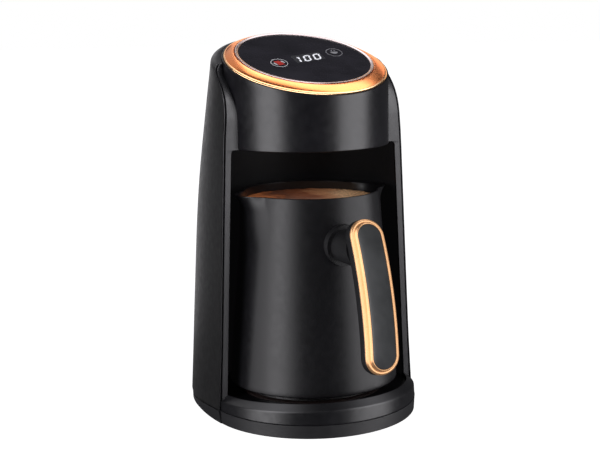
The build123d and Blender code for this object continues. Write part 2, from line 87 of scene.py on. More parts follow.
# ------------------------------------------------------------------ the body's dimensions, in millimetres
HEAD_Y, HEAD_R, HEAD_Z = 3.06, 54.43, 180.0
TOP_Z, TOP_TAN = 232.8, 0.3282
COS = 1 / math.hypot(1, TOP_TAN)
SIN = TOP_TAN * COS
RING_R, GLASS_R = 53.45, 43.29
TURN = math.radians(3.39)
POT_X, POT_Y = 1.0, -0.8
STRIP_IN, EDGE_T, EDGE_BACK = 1.45, 0.7, 0.4
SECTIONS = [
    (2.0, 0.0, 70.75, -12.0, 105.05, 3.46),
    (45.0, 0.0, 68.3, -12.0, 104.8, 3.40),
    (85.0, 0.0, 66.6, -12.0, 103.0, 3.30),
    (125.0, 0.0, 65.0, -12.0, 100.0, 3.20),
    (160.0, 0.0, 63.6, -11.0, 94.4, 3.02),
    (187.0, 0.06, 62.5, -8.0, 85.4, 2.77),
    (206.0, 0.17, 61.3, -4.0, 77.8, 2.56),
    (219.0, 0.27, 60.65, 0.0, 70.5, 2.38),
    (226.6, 0.3282, 60.45, 3.06, 64.6, 2.25),
    (229.2, 0.3282, 59.3, 3.06, 62.0, 2.20),
    (230.6, 0.3282, 57.6, 3.06, 60.0, 2.10),
    (231.1, 0.3100, 53.4, 3.06, 56.46, 2.00),
]
FACE = [(-12.0, 198.0), (-10.8, 207.0), (-7.1, 214.6), (-2.1, 220.0), (4.2, 225.0),
        (9.0, 229.5), (13.0, 236.0), (17.0, 243.0), (22.0, 252.0)]


def monotone(xs, ys):
    n = len(xs)
    h = [xs[i + 1] - xs[i] for i in range(n - 1)]
    d = [(ys[i + 1] - ys[i]) / h[i] for i in range(n - 1)]
    mm = [0.0] * n
    for i in range(1, n - 1):
        if d[i - 1] * d[i] > 0:
            w1, w2 = 2 * h[i] + h[i - 1], h[i] + 2 * h[i - 1]
            mm[i] = (w1 + w2) / (w1 / d[i - 1] + w2 / d[i])
    mm[0], mm[-1] = d[0], d[-1]

    def f(x):
        i = 0
        while i < n - 2 and x > xs[i + 1]:
            i += 1
        t = (x - xs[i]) / h[i]
        return ((2 * t**3 - 3 * t**2 + 1) * ys[i] + (t**3 - 2 * t**2 + t) * h[i] * mm[i]
                + (-2 * t**3 + 3 * t**2) * ys[i + 1] + (t**3 - t**2) * h[i] * mm[i + 1])
    return f


SEC_F = [monotone(list(range(len(SECTIONS))), [r[k] for r in SECTIONS]) for k in range(6)]


def clamped_spline(pts, t0, t1):
    """Cubic spline through 2-D points with unit-speed end tangents, sampled densely."""
    p = np.array(pts, float)
    n = len(p)
    L = np.concatenate([[0], np.cumsum(np.linalg.norm(np.diff(p, axis=0), axis=1))])
    h = np.diff(L)
    A = np.zeros((n, n))
    b = np.zeros((n, 2))
    A[0, 0] = A[-1, -1] = 1
    b[0], b[-1] = np.array(t0) / np.linalg.norm(t0), np.array(t1) / np.linalg.norm(t1)
    for i in range(1, n - 1):
        A[i, i - 1], A[i, i], A[i, i + 1] = 1 / h[i - 1], 2 / h[i - 1] + 2 / h[i], 1 / h[i]
        b[i] = 3 * ((p[i] - p[i - 1]) / h[i - 1] ** 2 + (p[i + 1] - p[i]) / h[i] ** 2)
    mt = np.linalg.solve(A, b)
    out = []
    for i in range(n - 1):
        for t in np.linspace(0, 1, 24, endpoint=(i == n - 2)):
            out.append((2 * t**3 - 3 * t**2 + 1) * p[i] + (t**3 - 2 * t**2 + t) * h[i] * mt[i]
                       + (-2 * t**3 + 3 * t**2) * p[i + 1] + (t**3 - t**2) * h[i] * mt[i + 1])
    return np.array(out)


_face = clamped_spline(FACE, (0, 1), (5, 9))


def face_y(z):
    return float(np.interp(z, _face[:, 1], _face[:, 0], left=-12.0))


def section(s):
    return [f(s) for f in SEC_F]


def front_y(s, off):
    """Where the section at s meets the front face moved back by off."""
    zr, tl = SEC_F[0](s), SEC_F[1](s)
    y = -12.0 + off
    for _ in range(40):
        y = 0.5 * y + 0.5 * (face_y(zr + tl * (y - HEAD_Y)) + off)
    return y


def half_width_at(s, y):
    zr, tl, aa, y0, back, ex = section(s)
    if y <= y0:
        return aa
    q = min(1.0, ((y - y0) / (back - y0)) ** ex)
    return aa * (1 - q) ** (1 / ex)


# ------------------------------------------------------------------ mesh helpers
def grid_faces(nu, nv, wrap_u=False, wrap_v=False, flip=False):
    out = []
    for i in range(nu if wrap_u else nu - 1):
        for j in range(nv if wrap_v else nv - 1):
            i2, j2 = (i + 1) % nu, (j + 1) % nv
            q = (i * nv + j, i2 * nv + j, i2 * nv + j2, i * nv + j2)
            out.append(q[::-1] if flip else q)
    return out


def recalc(me):
    import bmesh
    bm = bmesh.new()
    bm.from_mesh(me)
    bmesh.ops.remove_doubles(bm, verts=bm.verts, dist=1e-7)
    bmesh.ops.dissolve_degenerate(bm, edges=bm.edges, dist=1e-7)
    bmesh.ops.recalc_face_normals(bm, faces=bm.faces)
    bm.to_mesh(me)
    bm.free()


def piece(name, verts, faces, mat, body, rep=(), fix=True, smooth=True):
    me = bpy.data.meshes.new(name)
    me.from_pydata([tuple(float(c) for c in v) for v in np.asarray(verts, float) * MM], [], faces)
    me.update()
    if fix:
        recalc(me)
    me.polygons.foreach_set("use_smooth", [smooth] * len(me.polygons))
    me.materials.append(mat)
    ob = bpy.data.objects.new(name, me)
    scene.collection.objects.link(ob)
    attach(ob, body)
    if rep:
        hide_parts(*rep)
    return ob


def sharpen(ob, angle=40):
    """Smooth shading, with hard edges where the faces turn by more than the angle."""
    ob.data.set_sharp_from_angle(angle=math.radians(angle))
    return ob


def bevel(ob, width, segments=3, angle=35):
    md = ob.modifiers.new("edges", "BEVEL")
    md.width = width * MM
    md.segments = segments
    md.limit_method = "ANGLE"
    md.angle_limit = math.radians(angle)
    md.use_clamp_overlap = True
    wn = ob.modifiers.new("shade", "WEIGHTED_NORMAL")
    wn.keep_sharp = False
    wn.weight = 50
    return ob


def turned(pts):
    p = np.asarray(pts, float)
    c, s = math.cos(TURN), math.sin(TURN)
    return np.stack([p[:, 0] * c - p[:, 1] * s + POT_X, p[:, 0] * s + p[:, 1] * c + POT_Y, p[:, 2]], -1)


# ------------------------------------------------------------------ materials
def mat(name, base, rough, metallic=0.0, spec=0.5, coat=0.0, coat_rough=0.1, dark=0.75, light=1.2, mottle=60.0,
        grain=2600.0, bump=0.12, depth=0.00004, rvar=0.05, stretch=None, tint=None, ior=1.5, transmission=0.0,
        rcoarse=240.0, detail=2.0, painted_glow=0.0):
    """Moulded or metal finish: a mottled colour, a varying roughness and a fine relief, plus a faint painted glow that
    lifts the shade where painted_glow is given.
    """
    mt = bpy.data.materials.new(name)
    mt.use_nodes = True
    nt = mt.node_tree
    nt.nodes.clear()
    out = nt.nodes.new("ShaderNodeOutputMaterial")
    bs = nt.nodes.new("ShaderNodeBsdfPrincipled")
    nt.links.new(bs.outputs["BSDF"], out.inputs["Surface"])
    bs.inputs["Metallic"].default_value = metallic
    bs.inputs["Specular IOR Level"].default_value = spec
    bs.inputs["IOR"].default_value = ior
    bs.inputs["Coat Weight"].default_value = coat
    bs.inputs["Coat Roughness"].default_value = coat_rough
    bs.inputs["Transmission Weight"].default_value = transmission
    # painted light: a faint even emission that brightens dark, shaded surfaces
    if painted_glow:
        bs.inputs["Emission Color"].default_value = (0.94, 0.92, 1.0, 1)
        bs.inputs["Emission Strength"].default_value = painted_glow
    tc = nt.nodes.new("ShaderNodeTexCoord")
    mp = nt.nodes.new("ShaderNodeMapping")
    if stretch:
        mp.inputs["Scale"].default_value = stretch
    nt.links.new(tc.outputs["Object"], mp.inputs["Vector"])
    big = nt.nodes.new("ShaderNodeTexNoise")
    big.inputs["Scale"].default_value = mottle
    big.inputs["Detail"].default_value = 3.0
    nt.links.new(tc.outputs["Object"], big.inputs["Vector"])
    ramp = nt.nodes.new("ShaderNodeValToRGB")
    c2 = tint or base
    ramp.color_ramp.elements[0].position = 0.3
    ramp.color_ramp.elements[1].position = 0.7
    ramp.color_ramp.elements[0].color = (base[0] * dark, base[1] * dark, base[2] * dark, 1)
    ramp.color_ramp.elements[1].color = (min(1, c2[0] * light), min(1, c2[1] * light), min(1, c2[2] * light), 1)
    nt.links.new(big.outputs["Fac"], ramp.inputs["Fac"])
    nt.links.new(ramp.outputs["Color"], bs.inputs["Base Color"])
    mid = nt.nodes.new("ShaderNodeTexNoise")
    mid.inputs["Scale"].default_value = rcoarse
    mid.inputs["Detail"].default_value = 4.0
    nt.links.new(mp.outputs["Vector"], mid.inputs["Vector"])
    mr = nt.nodes.new("ShaderNodeMapRange")
    mr.inputs["From Min"].default_value, mr.inputs["From Max"].default_value = 0.25, 0.75
    mr.inputs["To Min"].default_value, mr.inputs["To Max"].default_value = max(0.02, rough - rvar), min(1.0, rough + rvar)
    nt.links.new(mid.outputs["Fac"], mr.inputs["Value"])
    nt.links.new(mr.outputs["Result"], bs.inputs["Roughness"])
    if bump:
        fine = nt.nodes.new("ShaderNodeTexNoise")
        fine.inputs["Scale"].default_value = grain
        fine.inputs["Detail"].default_value = detail
        nt.links.new(mp.outputs["Vector"], fine.inputs["Vector"])
        bp = nt.nodes.new("ShaderNodeBump")
        bp.inputs["Strength"].default_value = bump
        bp.inputs["Distance"].default_value = depth
        nt.links.new(fine.outputs["Fac"], bp.inputs["Height"])
        nt.links.new(bp.outputs["Normal"], bs.inputs["Normal"])
    return mt


M = {
    "shell_black": mat("shell_black", (0.0075, 0.0074, 0.0088), 0.40, spec=0.5, grain=2400, bump=0.10),
    "strip_black": mat("strip_black", (0.0075, 0.0074, 0.0088), 0.40, spec=0.5, grain=2400, bump=0.10),
    "drum_black": mat("drum_black", (0.0050, 0.0048, 0.0064), 0.32, spec=0.5, grain=2400, bump=0.06),
    "base_black": mat("base_black", (0.0046, 0.0046, 0.0058), 0.34, spec=0.38, grain=2000, bump=0.12),
    # niche_black, pot_coat and grip_black carry a faint painted glow that lifts their shade
    "niche_black": mat("niche_black", (0.0055, 0.0055, 0.0062), 0.60, spec=0.20, grain=1800, bump=0.15, painted_glow=0.0016),
    "under_black": mat("under_black", (0.0095, 0.0095, 0.0108), 0.50, spec=0.45, grain=1500, bump=0.25, depth=0.00008),
    "copper_gold": mat("copper_gold", (0.94, 0.300, 0.092), 0.23, metallic=1.0, grain=1400, bump=0.015, depth=0.00001,
                       dark=0.97, light=1.02, rvar=0.025, tint=(0.95, 0.315, 0.100)),
    "silver_lip": mat("silver_lip", (0.44, 0.37, 0.385), 0.26, metallic=1.0, grain=1200, bump=0.04, depth=0.00002,
                      dark=0.9, light=1.05),
    "panel_glass": mat("panel_glass", (0.0250, 0.0240, 0.0305), 0.24, spec=0.06, coat=0.0, coat_rough=0.04, grain=700,
                       bump=0.01, depth=0.00001, rvar=0.03),
    "pot_coat": mat("pot_coat", (0.0050, 0.0049, 0.0062), 0.37, spec=0.5, grain=3000, bump=0.10, depth=0.00003, painted_glow=0.0007),
    "pot_steel": mat("pot_steel", (0.60, 0.59, 0.58), 0.30, metallic=1.0, grain=900, bump=0.10, stretch=(1, 1, 8)),
    "grip_black": mat("grip_black", (0.0075, 0.0075, 0.0085), 0.46, spec=0.4, grain=2400, bump=0.15, painted_glow=0.0018),
    "insert_black": mat("insert_black", (0.036, 0.038, 0.039), 0.38, spec=0.5, grain=2600, bump=0.08),
    "grip_gold": mat("grip_gold", (0.94, 0.52, 0.265), 0.28, metallic=1.0, grain=1400, bump=0.015, depth=0.00001,
                     dark=0.97, light=1.02, rvar=0.025, tint=(0.95, 0.545, 0.285)),
    "plate_alu": mat("plate_alu", (0.20, 0.20, 0.205), 0.34, metallic=1.0, grain=700, bump=0.12, stretch=(1, 1, 1),
                     dark=0.8, light=1.15, rvar=0.08),
    "element_steel": mat("element_steel", (0.33, 0.29, 0.25), 0.38, metallic=1.0, dark=0.7, light=1.2, tint=(0.28, 0.30, 0.38)),
    "silicone": mat("silicone", (0.020, 0.012, 0.011), 0.55, spec=0.4, bump=0.2),
    "rubber_black": mat("rubber_black", (0.013, 0.013, 0.013), 0.72, spec=0.3, grain=1500, bump=0.35, depth=0.00010),
    "screw_zinc": mat("screw_zinc", (0.50, 0.51, 0.54), 0.32, metallic=1.0, dark=0.8, light=1.1, tint=(0.55, 0.54, 0.48)),
    "pcb_green": mat("pcb_green", (0.012, 0.12, 0.055), 0.35, spec=0.5, mottle=300, dark=0.6, light=1.3, rvar=0.1),
    "part_black": mat("part_black", (0.014, 0.014, 0.015), 0.42, bump=0.15),
    "part_blue": mat("part_blue", (0.02, 0.075, 0.27), 0.38, dark=0.85, light=1.1),
    "part_yellow": mat("part_yellow", (0.52, 0.38, 0.06), 0.40, dark=0.8, light=1.1, mottle=120),
    "display_face": mat("display_face", (0.045, 0.045, 0.052), 0.24),
    "ribbon_grey": mat("ribbon_grey", (0.42, 0.42, 0.45), 0.45, stretch=(9, 1, 1), grain=700, bump=0.3),
    "spring_steel": mat("spring_steel", (0.56, 0.56, 0.58), 0.28, metallic=1.0),
    "window_clear": mat("window_clear", (0.10, 0.11, 0.125), 0.12, spec=0.5, coat=0.5),
}
SLOT_OF = {r["node"]: r["material_slot"] for r in frame["record"]["subparts"]}
for node, ob in NODES.items():
    me = ob.data
    if not me.materials:
        me.materials.append(None)
    for k in range(len(me.materials)):
        me.materials[k] = M[SLOT_OF[node]]

mark_white = mat("mark_white", (0.80, 0.80, 0.83), 0.45, dark=0.9, light=1.05, bump=0.05)
mark_red = mat("mark_red", (0.62, 0.035, 0.025), 0.45, dark=0.9, light=1.1, bump=0.05)
mark_grey = mat("mark_grey", (0.36, 0.36, 0.385), 0.5, dark=0.9, light=1.1, bump=0.05)
window_tint = mat("window_tint", (0.046, 0.046, 0.052), 0.3, dark=0.85, light=1.15, bump=0.02)


def lit_digits():
    mt = mat("digit_light", (0.85, 0.86, 0.90), 0.4, dark=0.92, light=1.05, bump=0.02)
    bs = mt.node_tree.nodes["Principled BSDF"]
    bs.inputs["Emission Color"].default_value = (0.86, 0.88, 0.95, 1)
    bs.inputs["Emission Strength"].default_value = 0.55
    return mt


digit_light = lit_digits()


# ------------------------------------------------------------------ rear shell
def outline(s, off, u_of):
    """Points of the section at s behind the front face moved back by off, at the arc lengths u_of(total)."""
    zr, tl, aa, y0, back, ex = section(s)
    yf = front_y(s, off)
    if yf <= y0:
        t0 = 0.0
        pre = np.linspace(yf, y0, 60)[:-1]
    else:
        t0 = math.asin(min(1.0, ((yf - y0) / (back - y0)) ** (ex / 2))) / math.pi
        pre = np.array([])
    t = np.pi * np.linspace(t0, 1 - t0, 1601)
    c, q = np.cos(t), np.abs(np.sin(t))
    x = aa * np.sign(c) * np.abs(c) ** (2 / ex)
    y = y0 + (back - y0) * q ** (2 / ex)
    x = np.concatenate([np.full(len(pre), aa), x, np.full(len(pre), -aa)])
    y = np.concatenate([pre, y, pre[::-1]])
    d = np.concatenate([[0], np.cumsum(np.hypot(np.diff(x), np.diff(y)))])
    u = u_of(d[-1])
    x, y = np.interp(u, d, x), np.interp(u, d, y)
    return np.stack([x, y, zr + tl * (y - HEAD_Y)], -1)


U_EDGE = np.array([0.0, 0.3, 0.8, 1.3, 1.86, 1.95, 2.4, 3.4])
N_MID = 191


def shell_u(total):
    mid = np.linspace(5.0, total - 5.0, N_MID)
    return np.concatenate([U_EDGE, mid, total - U_EDGE[::-1]])


def lower_edge(y):
    return 9.9 - 6.6 * np.clip((y + 10.0) / 52.0, 0, 1)


def low_s(z):
    lo, hi = 0.0, 1.5
    for _ in range(40):
        mid = (lo + hi) / 2
        if SEC_F[0](mid) < z:
            lo = mid
        else:
            hi = mid
    return lo


def shell_rows(hole_r=54.7):
    # the foot, above the split line
    ref_z = np.array([2.6, 7.0, 12.0, 16.0, 19.65])
    ref = np.array([outline(low_s(z), EDGE_BACK, shell_u) for z in ref_z])
    zb = lower_edge(ref[1, :, 1])
    rows = []
    for f in (0.0, 0.04, 0.12, 0.25, 0.42, 0.62, 0.82, 1.0):
        z = zb + (19.65 - zb) * f
        rows.append(np.stack([[np.interp(z[c], ref_z, ref[:, c, k]) for c in range(len(zb))] for k in (0, 1)] + [z], -1))
    n_low = 0
    for z in (21.5, 23.25, 25.0, 26.75, 28.5, 30.25, 32.0, 34.0, 37.0, 41.0):
        rows.append(outline(low_s(z), EDGE_BACK, shell_u))
    s_list = list(np.linspace(1, 4, 16)) + list(np.linspace(4, 8, 33)[1:]) + list(np.linspace(8, 9, 13)[1:])
    rows += [outline(s, EDGE_BACK, shell_u) for s in s_list]
    fine_s = np.linspace(9, 11, 241)
    fine = np.array([outline(s, EDGE_BACK, shell_u) for s in fine_s])
    rad = np.hypot(fine[:, :, 0], fine[:, :, 1] - HEAD_Y)
    top = []
    for c in range(fine.shape[1]):
        k = int(np.nonzero(rad[:, c] < hole_r)[0][0])
        f = (rad[k - 1, c] - hole_r) / (rad[k - 1, c] - rad[k, c])
        s_end = fine_s[k - 1] + f * (fine_s[k] - fine_s[k - 1])
        w = 9 + (s_end - 9) * np.linspace(0, 1, 29)[1:]
        top.append(np.stack([np.interp(w, fine_s, fine[:, c, j]) for j in range(3)], -1))
    top = np.array(top)
    rows += [top[:, j] for j in range(top.shape[1])]
    return np.array(rows), n_low


def unit(v):
    return v / np.maximum(1e-9, np.linalg.norm(v, axis=-1, keepdims=True))


def shell_grid():
    g, n_low = shell_rows()
    nr, nc = g.shape[:2]
    du = unit(np.gradient(g, axis=1))
    dv = np.gradient(g, axis=0)
    N = unit(np.cross(du, dv))
    if (N[20, nc // 2] @ np.array([0, 1.0, 0])) < 0:
        N = -N
    outer = g[:, 1:-1]
    No = N[:, 1:-1]
    C = outer.shape[1]
    thick = np.full((nr, C), 2.3)
    thin = np.concatenate([U_EDGE[1:] < 1.9, np.zeros(N_MID, bool), (U_EDGE[1:] < 1.9)[::-1]])
    thick[n_low:, thin] = EDGE_T
    inner = outer - No * thick[:, :, None]
    r = 0.28

    def corner(j, c, tang):
        """Rounded front edge at column c of row j, from the outer point to the inner one."""
        P, n, th_ = outer[j, c], No[j, c], thick[j, c]
        pts = []
        for k in range(1, 5):
            a_ = math.radians(22.5 * k)
            pts.append(P - n * r + r * (math.cos(a_) * n + math.sin(a_) * tang))
        for k in range(0, 4):
            a_ = math.radians(22.5 * k)
            pts.append(P - n * (th_ - r) + r * (math.cos(a_) * tang - math.sin(a_) * n))
        return pts

    loops = []
    for j in range(nr):
        tl_ = unit(g[j, -1] - g[j, -2])
        tr_ = unit(g[j, 0] - g[j, 1])
        left = corner(j, C - 1, tl_)
        rightc = corner(j, 0, tr_)[::-1]
        loops.append(np.concatenate([outer[j], np.array(left), inner[j, ::-1], np.array(rightc)]))
    L = np.array(loops)
    return L, nr, C


L, nr, C = shell_grid()
nl = L.shape[1]
K = 8
# cells of the wall inside the cord gland's hole
HOLE = (0.0, 26.0, 7.05)


def in_hole(j, i):
    q = (L[j, i] + L[j + 1, i] + L[j, i + 1] + L[j + 1, i + 1]) / 4
    return q[1] > 90 and math.hypot(q[0] - HOLE[0], q[2] - HOLE[1]) < HOLE[2]


holes = {(j, i) for j in range(8, nr - 1) for i in range(60, C - 60) if in_hole(j, i)}


def inner_index(i):
    return C + K + (C - 1 - i)


faces = []
for j in range(nr - 1):
    for i in range(nl):
        i2 = (i + 1) % nl
        if i < C - 1 and (j, i) in holes:
            continue
        if C + K <= i < C + K + C - 1 and (j, C - 1 - (i - C - K) - 1) in holes:
            continue
        faces.append((j * nl + i, j * nl + i2, (j + 1) * nl + i2, (j + 1) * nl + i))
snap = set()
for (j, i) in holes:
    for (j2, i2), (va, vb) in (((j, i - 1), ((j, i), (j + 1, i))), ((j, i + 1), ((j, i + 1), (j + 1, i + 1))),
                               ((j - 1, i), ((j, i), (j, i + 1))), ((j + 1, i), ((j + 1, i), (j + 1, i + 1)))):
        if (j2, i2) not in holes:
            a_, b_ = va[0] * nl + va[1], vb[0] * nl + vb[1]
            c_, d_ = vb[0] * nl + inner_index(vb[1]), va[0] * nl + inner_index(va[1])
            faces.append((a_, b_, c_, d_))
            snap |= {va, vb}
for (j, i) in snap:
    for k in (i, inner_index(i)):
        dx, dz = L[j, k, 0] - HOLE[0], L[j, k, 2] - HOLE[1]
        f = HOLE[2] / math.hypot(dx, dz)
        L[j, k, 0], L[j, k, 2] = HOLE[0] + dx * f, HOLE[1] + dz * f
for j in (0, nr - 1):
    for i in range(C - 1):
        faces.append((j * nl + i, j * nl + i + 1, j * nl + inner_index(i + 1), j * nl + inner_index(i)))
    faces.append(tuple(j * nl + k for k in [C - 1] + list(range(C, C + K)) + [C + K]))
    faces.append(tuple(j * nl + k for k in [inner_index(0)] + list(range(C + K + C, nl)) + [0]))
shell = piece("shell_skin", L.reshape(-1, 3), faces, M["shell_black"], "housing", ("rear_shell",))
sharpen(shell, 42)

# ------------------------------------------------------------------ front strips
def crease_offset(z):
    return float(np.interp(z, [203, 207, 211, 218, 224, 229, 233, 240], [0.0, 0.5, 1.0, 1.5, 2.4, 3.8, 4.4, 4.8]))


def niche_half(z):
    return 64.3 + (57.4 - 64.3) * (z - 15.5) / 164.5


def strip_mesh(sign):
    rows = []

    def base_z(x):
        """The collar's slope under the strip's foot."""
        return 18.76 + 0.0571 * 12.0 - 0.817 * (math.hypot(x, 12.0) - 64.8)

    def loop(xo, xc, xi, y, z, xob, yb, zb, z_of=None):
        """One section through a strip: face, rounded edges, the filler facet beside the drum, and the back."""
        w = max(0.0, xc - xi)
        k = min(1.0, w / 0.6)
        dip = min(1.7, 1.05 * w)
        dy, dz = dip * 0.75, dip * 0.65
        m = min(w, 0.4) / max(w, 1e-6)
        pts = [(xob, yb, zb), (xo, y + 0.34, z), (xo - 0.03, y + 0.17, z), (xo - 0.12, y + 0.05, z), (xo - 0.34, y, z),
               (max(xc + 0.34, xi), y, z), (xc + 0.10, y + 0.06, z - 0.02),
               (xc - min(w, 0.4) * 0.9, y + max(0.3 * (1 - k), dy * m), z - dz * m),
               (xi, y + max(0.36 * (1 - k), dy), z - dz), (xi, yb, zb)]
        if z_of is not None:
            pts = [(x_, y_, z_of(x_)) for x_, y_, _ in pts]
        return pts

    s_end = 11.0
    for s in np.linspace(9.5, 11, 600):
        y = front_y(s, 0.0)
        if half_width_at(s, y) - STRIP_IN < math.sqrt(max(0.0, 54.56 ** 2 - (y - HEAD_Y) ** 2)) + 0.5:
            s_end = s
            break
    zs = [None] + list(np.linspace(26, 176.5, 40)) + [177.6, 178.4, 179.0, 179.45, 179.8, 179.98]
    for z in zs:
        if z is None:
            rows.append(loop(69.55 - STRIP_IN, 64.1, 64.1, -12.0, 0, 69.55 - STRIP_IN, -10.2, 0, lambda x_: base_z(x_) + 0.12))
            continue
        s = s_of_z(z)
        xo, xi = half_width_at(s, -12.0) - STRIP_IN, niche_half(z)
        if z > 177.0:
            r = 2.6
            xi -= r - math.sqrt(max(0.0, r * r - (z - (180 - r)) ** 2))
        rows.append(loop(xo, xi, xi, -12.0, z, xo, -10.2, z))
    ss = [s_of_z(180.0)] + [s for s in np.concatenate([np.linspace(5, 8, 40), np.linspace(8, 9.5, 34)[1:], np.linspace(9.5, s_end, 16)[1:]])
                            if s > s_of_z(180.0) + 0.02]
    for s in ss:
        y = front_y(s, 0.0)
        zr, tl = SEC_F[0](s), SEC_F[1](s)
        z = zr + tl * (y - HEAD_Y)
        xo = half_width_at(s, y) - STRIP_IN
        xi = math.sqrt(max(0.0, 54.56 ** 2 - (y - HEAD_Y) ** 2))
        xo = max(xo, xi + 0.4)
        xc = max(xi, min(xi + crease_offset(z), xo - 0.75))
        yb = front_y(s, 1.8)
        zb = zr + tl * (yb - HEAD_Y)
        xob = max(half_width_at(s, yb) - STRIP_IN, xi + 0.4)
        rows.append(loop(xo, xc, xi, y, z, xob, yb + 0.1, zb - 0.2))
    rows = np.array(rows, float)
    rows[:, :, 0] *= sign
    return rows


def s_of_z(z):
    lo, hi = 0.0, 11.0
    for _ in range(50):
        mid = (lo + hi) / 2
        if SEC_F[0](mid) + SEC_F[1](mid) * (-12.0 - HEAD_Y) < z:
            lo = mid
        else:
            hi = mid
    return lo


for name, sign in (("strip_left", -1), ("strip_right", 1)):
    g = strip_mesh(sign)
    nr, nc = g.shape[:2]
    f = grid_faces(nr, nc, wrap_v=True)
    f += [tuple(range(nc)), tuple((nr - 1) * nc + k for k in range(nc))]
    ob = piece(name, g.reshape(-1, 3), f, M["strip_black"], "housing", ("front_" + name,))
    sharpen(ob, 45)

# ------------------------------------------------------------------ head drum
NT = 288
th = np.linspace(0, 2 * np.pi, NT, endpoint=False)


def plane_z(y, n=0.0):
    """Height of the ring plane, moved by n along its normal, at y."""
    return TOP_Z + n / COS + TOP_TAN * (y - HEAD_Y)


def drum_rows():
    out = []
    prof = []
    R, r = HEAD_R, HEAD_R - 2.2
    e = 0.55
    for k in range(5):
        t = math.pi / 2 * k / 4
        prof.append((R - e + e * math.sin(t), ("b", e - e * math.cos(t))))
    for v in np.linspace(0, 1, 14)[1:-1]:
        prof.append((R, ("v", v)))
    for k in range(4):
        t = math.pi / 2 * k / 3
        prof.append((R - 0.3 + 0.3 * math.cos(t), ("t", 0.3 - 0.3 * math.sin(t))))
    prof.append((r, ("t", 0.0)))
    prof.append((r, ("b", 0.0)))
    for rr, (kind, q) in prof:
        x, y = rr * np.cos(th), HEAD_Y + rr * np.sin(th)
        yo = HEAD_Y + HEAD_R * np.sin(th)
        zt = plane_z(y, -0.1)
        if kind == "b":
            z = np.full(NT, HEAD_Z + q)
        elif kind == "t":
            z = zt - q
        else:
            z = HEAD_Z + 0.6 + (plane_z(yo, -0.1) - 0.4 - HEAD_Z - 0.6) * q
        out.append(np.stack([x, y, z], -1))
    return np.array(out)


g = drum_rows()
piece("head_drum", g.reshape(-1, 3), grid_faces(len(g), NT, True, True), M["drum_black"], "housing", ("head_cover",))


# ------------------------------------------------------------------ ring, lip and glass
def tilted_loop(rx, shift, n, ang=th):
    x = rx * np.cos(ang)
    v = shift + rx / COS * np.sin(ang)
    return np.stack([x, HEAD_Y + COS * v - SIN * n, TOP_Z + SIN * v + COS * n], -1)


RING_IN = 45.95


def ring_profile():
    prof = [(51.4, 0.0, -1.2), (51.5, 0.0, -0.05), (53.2, 0.0, 0.0)]
    # along the bevel: f from the outer edge to the inner edge, with the relief across it
    for f, d in [(0.0, 0.02), (0.008, 0.2), (0.026, 0.38), (0.052, 0.49), (0.085, 0.53), (0.118, 0.51), (0.145, 0.46), (0.168, 0.40), (0.19, 0.36),
                 (0.215, 0.35), (0.238, 0.38), (0.265, 0.43), (0.31, 0.48), (0.38, 0.53), (0.50, 0.55), (0.64, 0.53), (0.76, 0.46), (0.86, 0.34),
                 (0.92, 0.22), (0.96, 0.08), (0.985, -0.08), (1.0, -0.25)]:
        prof.append((53.45 + (RING_IN - 53.45) * f + d * 0.28, 2.35 * f, 3.05 * f + d * 0.85))
    prof += [(45.75, 2.38, 2.55), (45.62, 2.4, 2.3), (45.62, 2.4, -1.2)]
    return prof


prof = ring_profile()
g = np.array([tilted_loop(*p) for p in prof])


def ring_material():
    """Copper gold, with a paler colour along the outer bead as a painted highlight."""
    mt = mat("ring_copper", (0.94, 0.300, 0.092), 0.23, metallic=1.0, grain=1400, bump=0.015, depth=0.00001,
             dark=0.97, light=1.02, rvar=0.025, tint=(0.95, 0.315, 0.100))
    nt = mt.node_tree
    bs = nt.nodes["Principled BSDF"]
    base = bs.inputs["Base Color"].links[0].from_socket
    tc = nt.nodes.new("ShaderNodeTexCoord")
    sub = nt.nodes.new("ShaderNodeVectorMath")
    sub.operation = "SUBTRACT"
    sub.inputs[1].default_value = (0, HEAD_Y / 1000, 0)
    nt.links.new(tc.outputs["Object"], sub.inputs[0])
    flat = nt.nodes.new("ShaderNodeVectorMath")
    flat.operation = "MULTIPLY"
    flat.inputs[1].default_value = (1, 1, 0)
    nt.links.new(sub.outputs[0], flat.inputs[0])
    size = nt.nodes.new("ShaderNodeVectorMath")
    size.operation = "LENGTH"
    nt.links.new(flat.outputs[0], size.inputs[0])
    bead_highlight_mask = nt.nodes.new("ShaderNodeMapRange")
    bead_highlight_mask.inputs["From Min"].default_value, bead_highlight_mask.inputs["From Max"].default_value = 0.0522, 0.0527
    nt.links.new(size.outputs["Value"], bead_highlight_mask.inputs["Value"])
    mix = nt.nodes.new("ShaderNodeMix")
    mix.data_type = "RGBA"
    nt.links.new(bead_highlight_mask.outputs["Result"], mix.inputs[0])
    nt.links.new(base, mix.inputs[6])
    # painted highlight: the bead's paler, creamier colour stands in for its bright reflection
    mix.inputs[7].default_value = (0.95, 0.60, 0.33, 1)
    nt.links.new(mix.outputs[2], bs.inputs["Base Color"])
    return mt


ob = piece("ring_gold", g.reshape(-1, 3), grid_faces(len(g), NT, True, True), ring_material(), "housing", ("trim_ring",))
sharpen(ob, 60)

prof = [(45.46, 2.4, -1.0), (45.48, 2.4, 3.2), (45.43, 2.4, 3.45), (45.28, 2.4, 3.60), (45.05, 2.4, 3.64), (44.7, 2.4, 3.58), (44.2, 2.42, 3.42),
        (43.7, 2.44, 3.27), (43.48, 2.45, 3.20), (43.38, 2.45, 3.08), (43.36, 2.45, 2.8), (43.36, 2.45, -1.0)]
g = np.array([tilted_loop(*p) for p in prof])
ob = piece("lip_silver", g.reshape(-1, 3), grid_faces(len(g), NT, True, True), M["silver_lip"], "housing", ("trim_lip",))
sharpen(ob, 60)

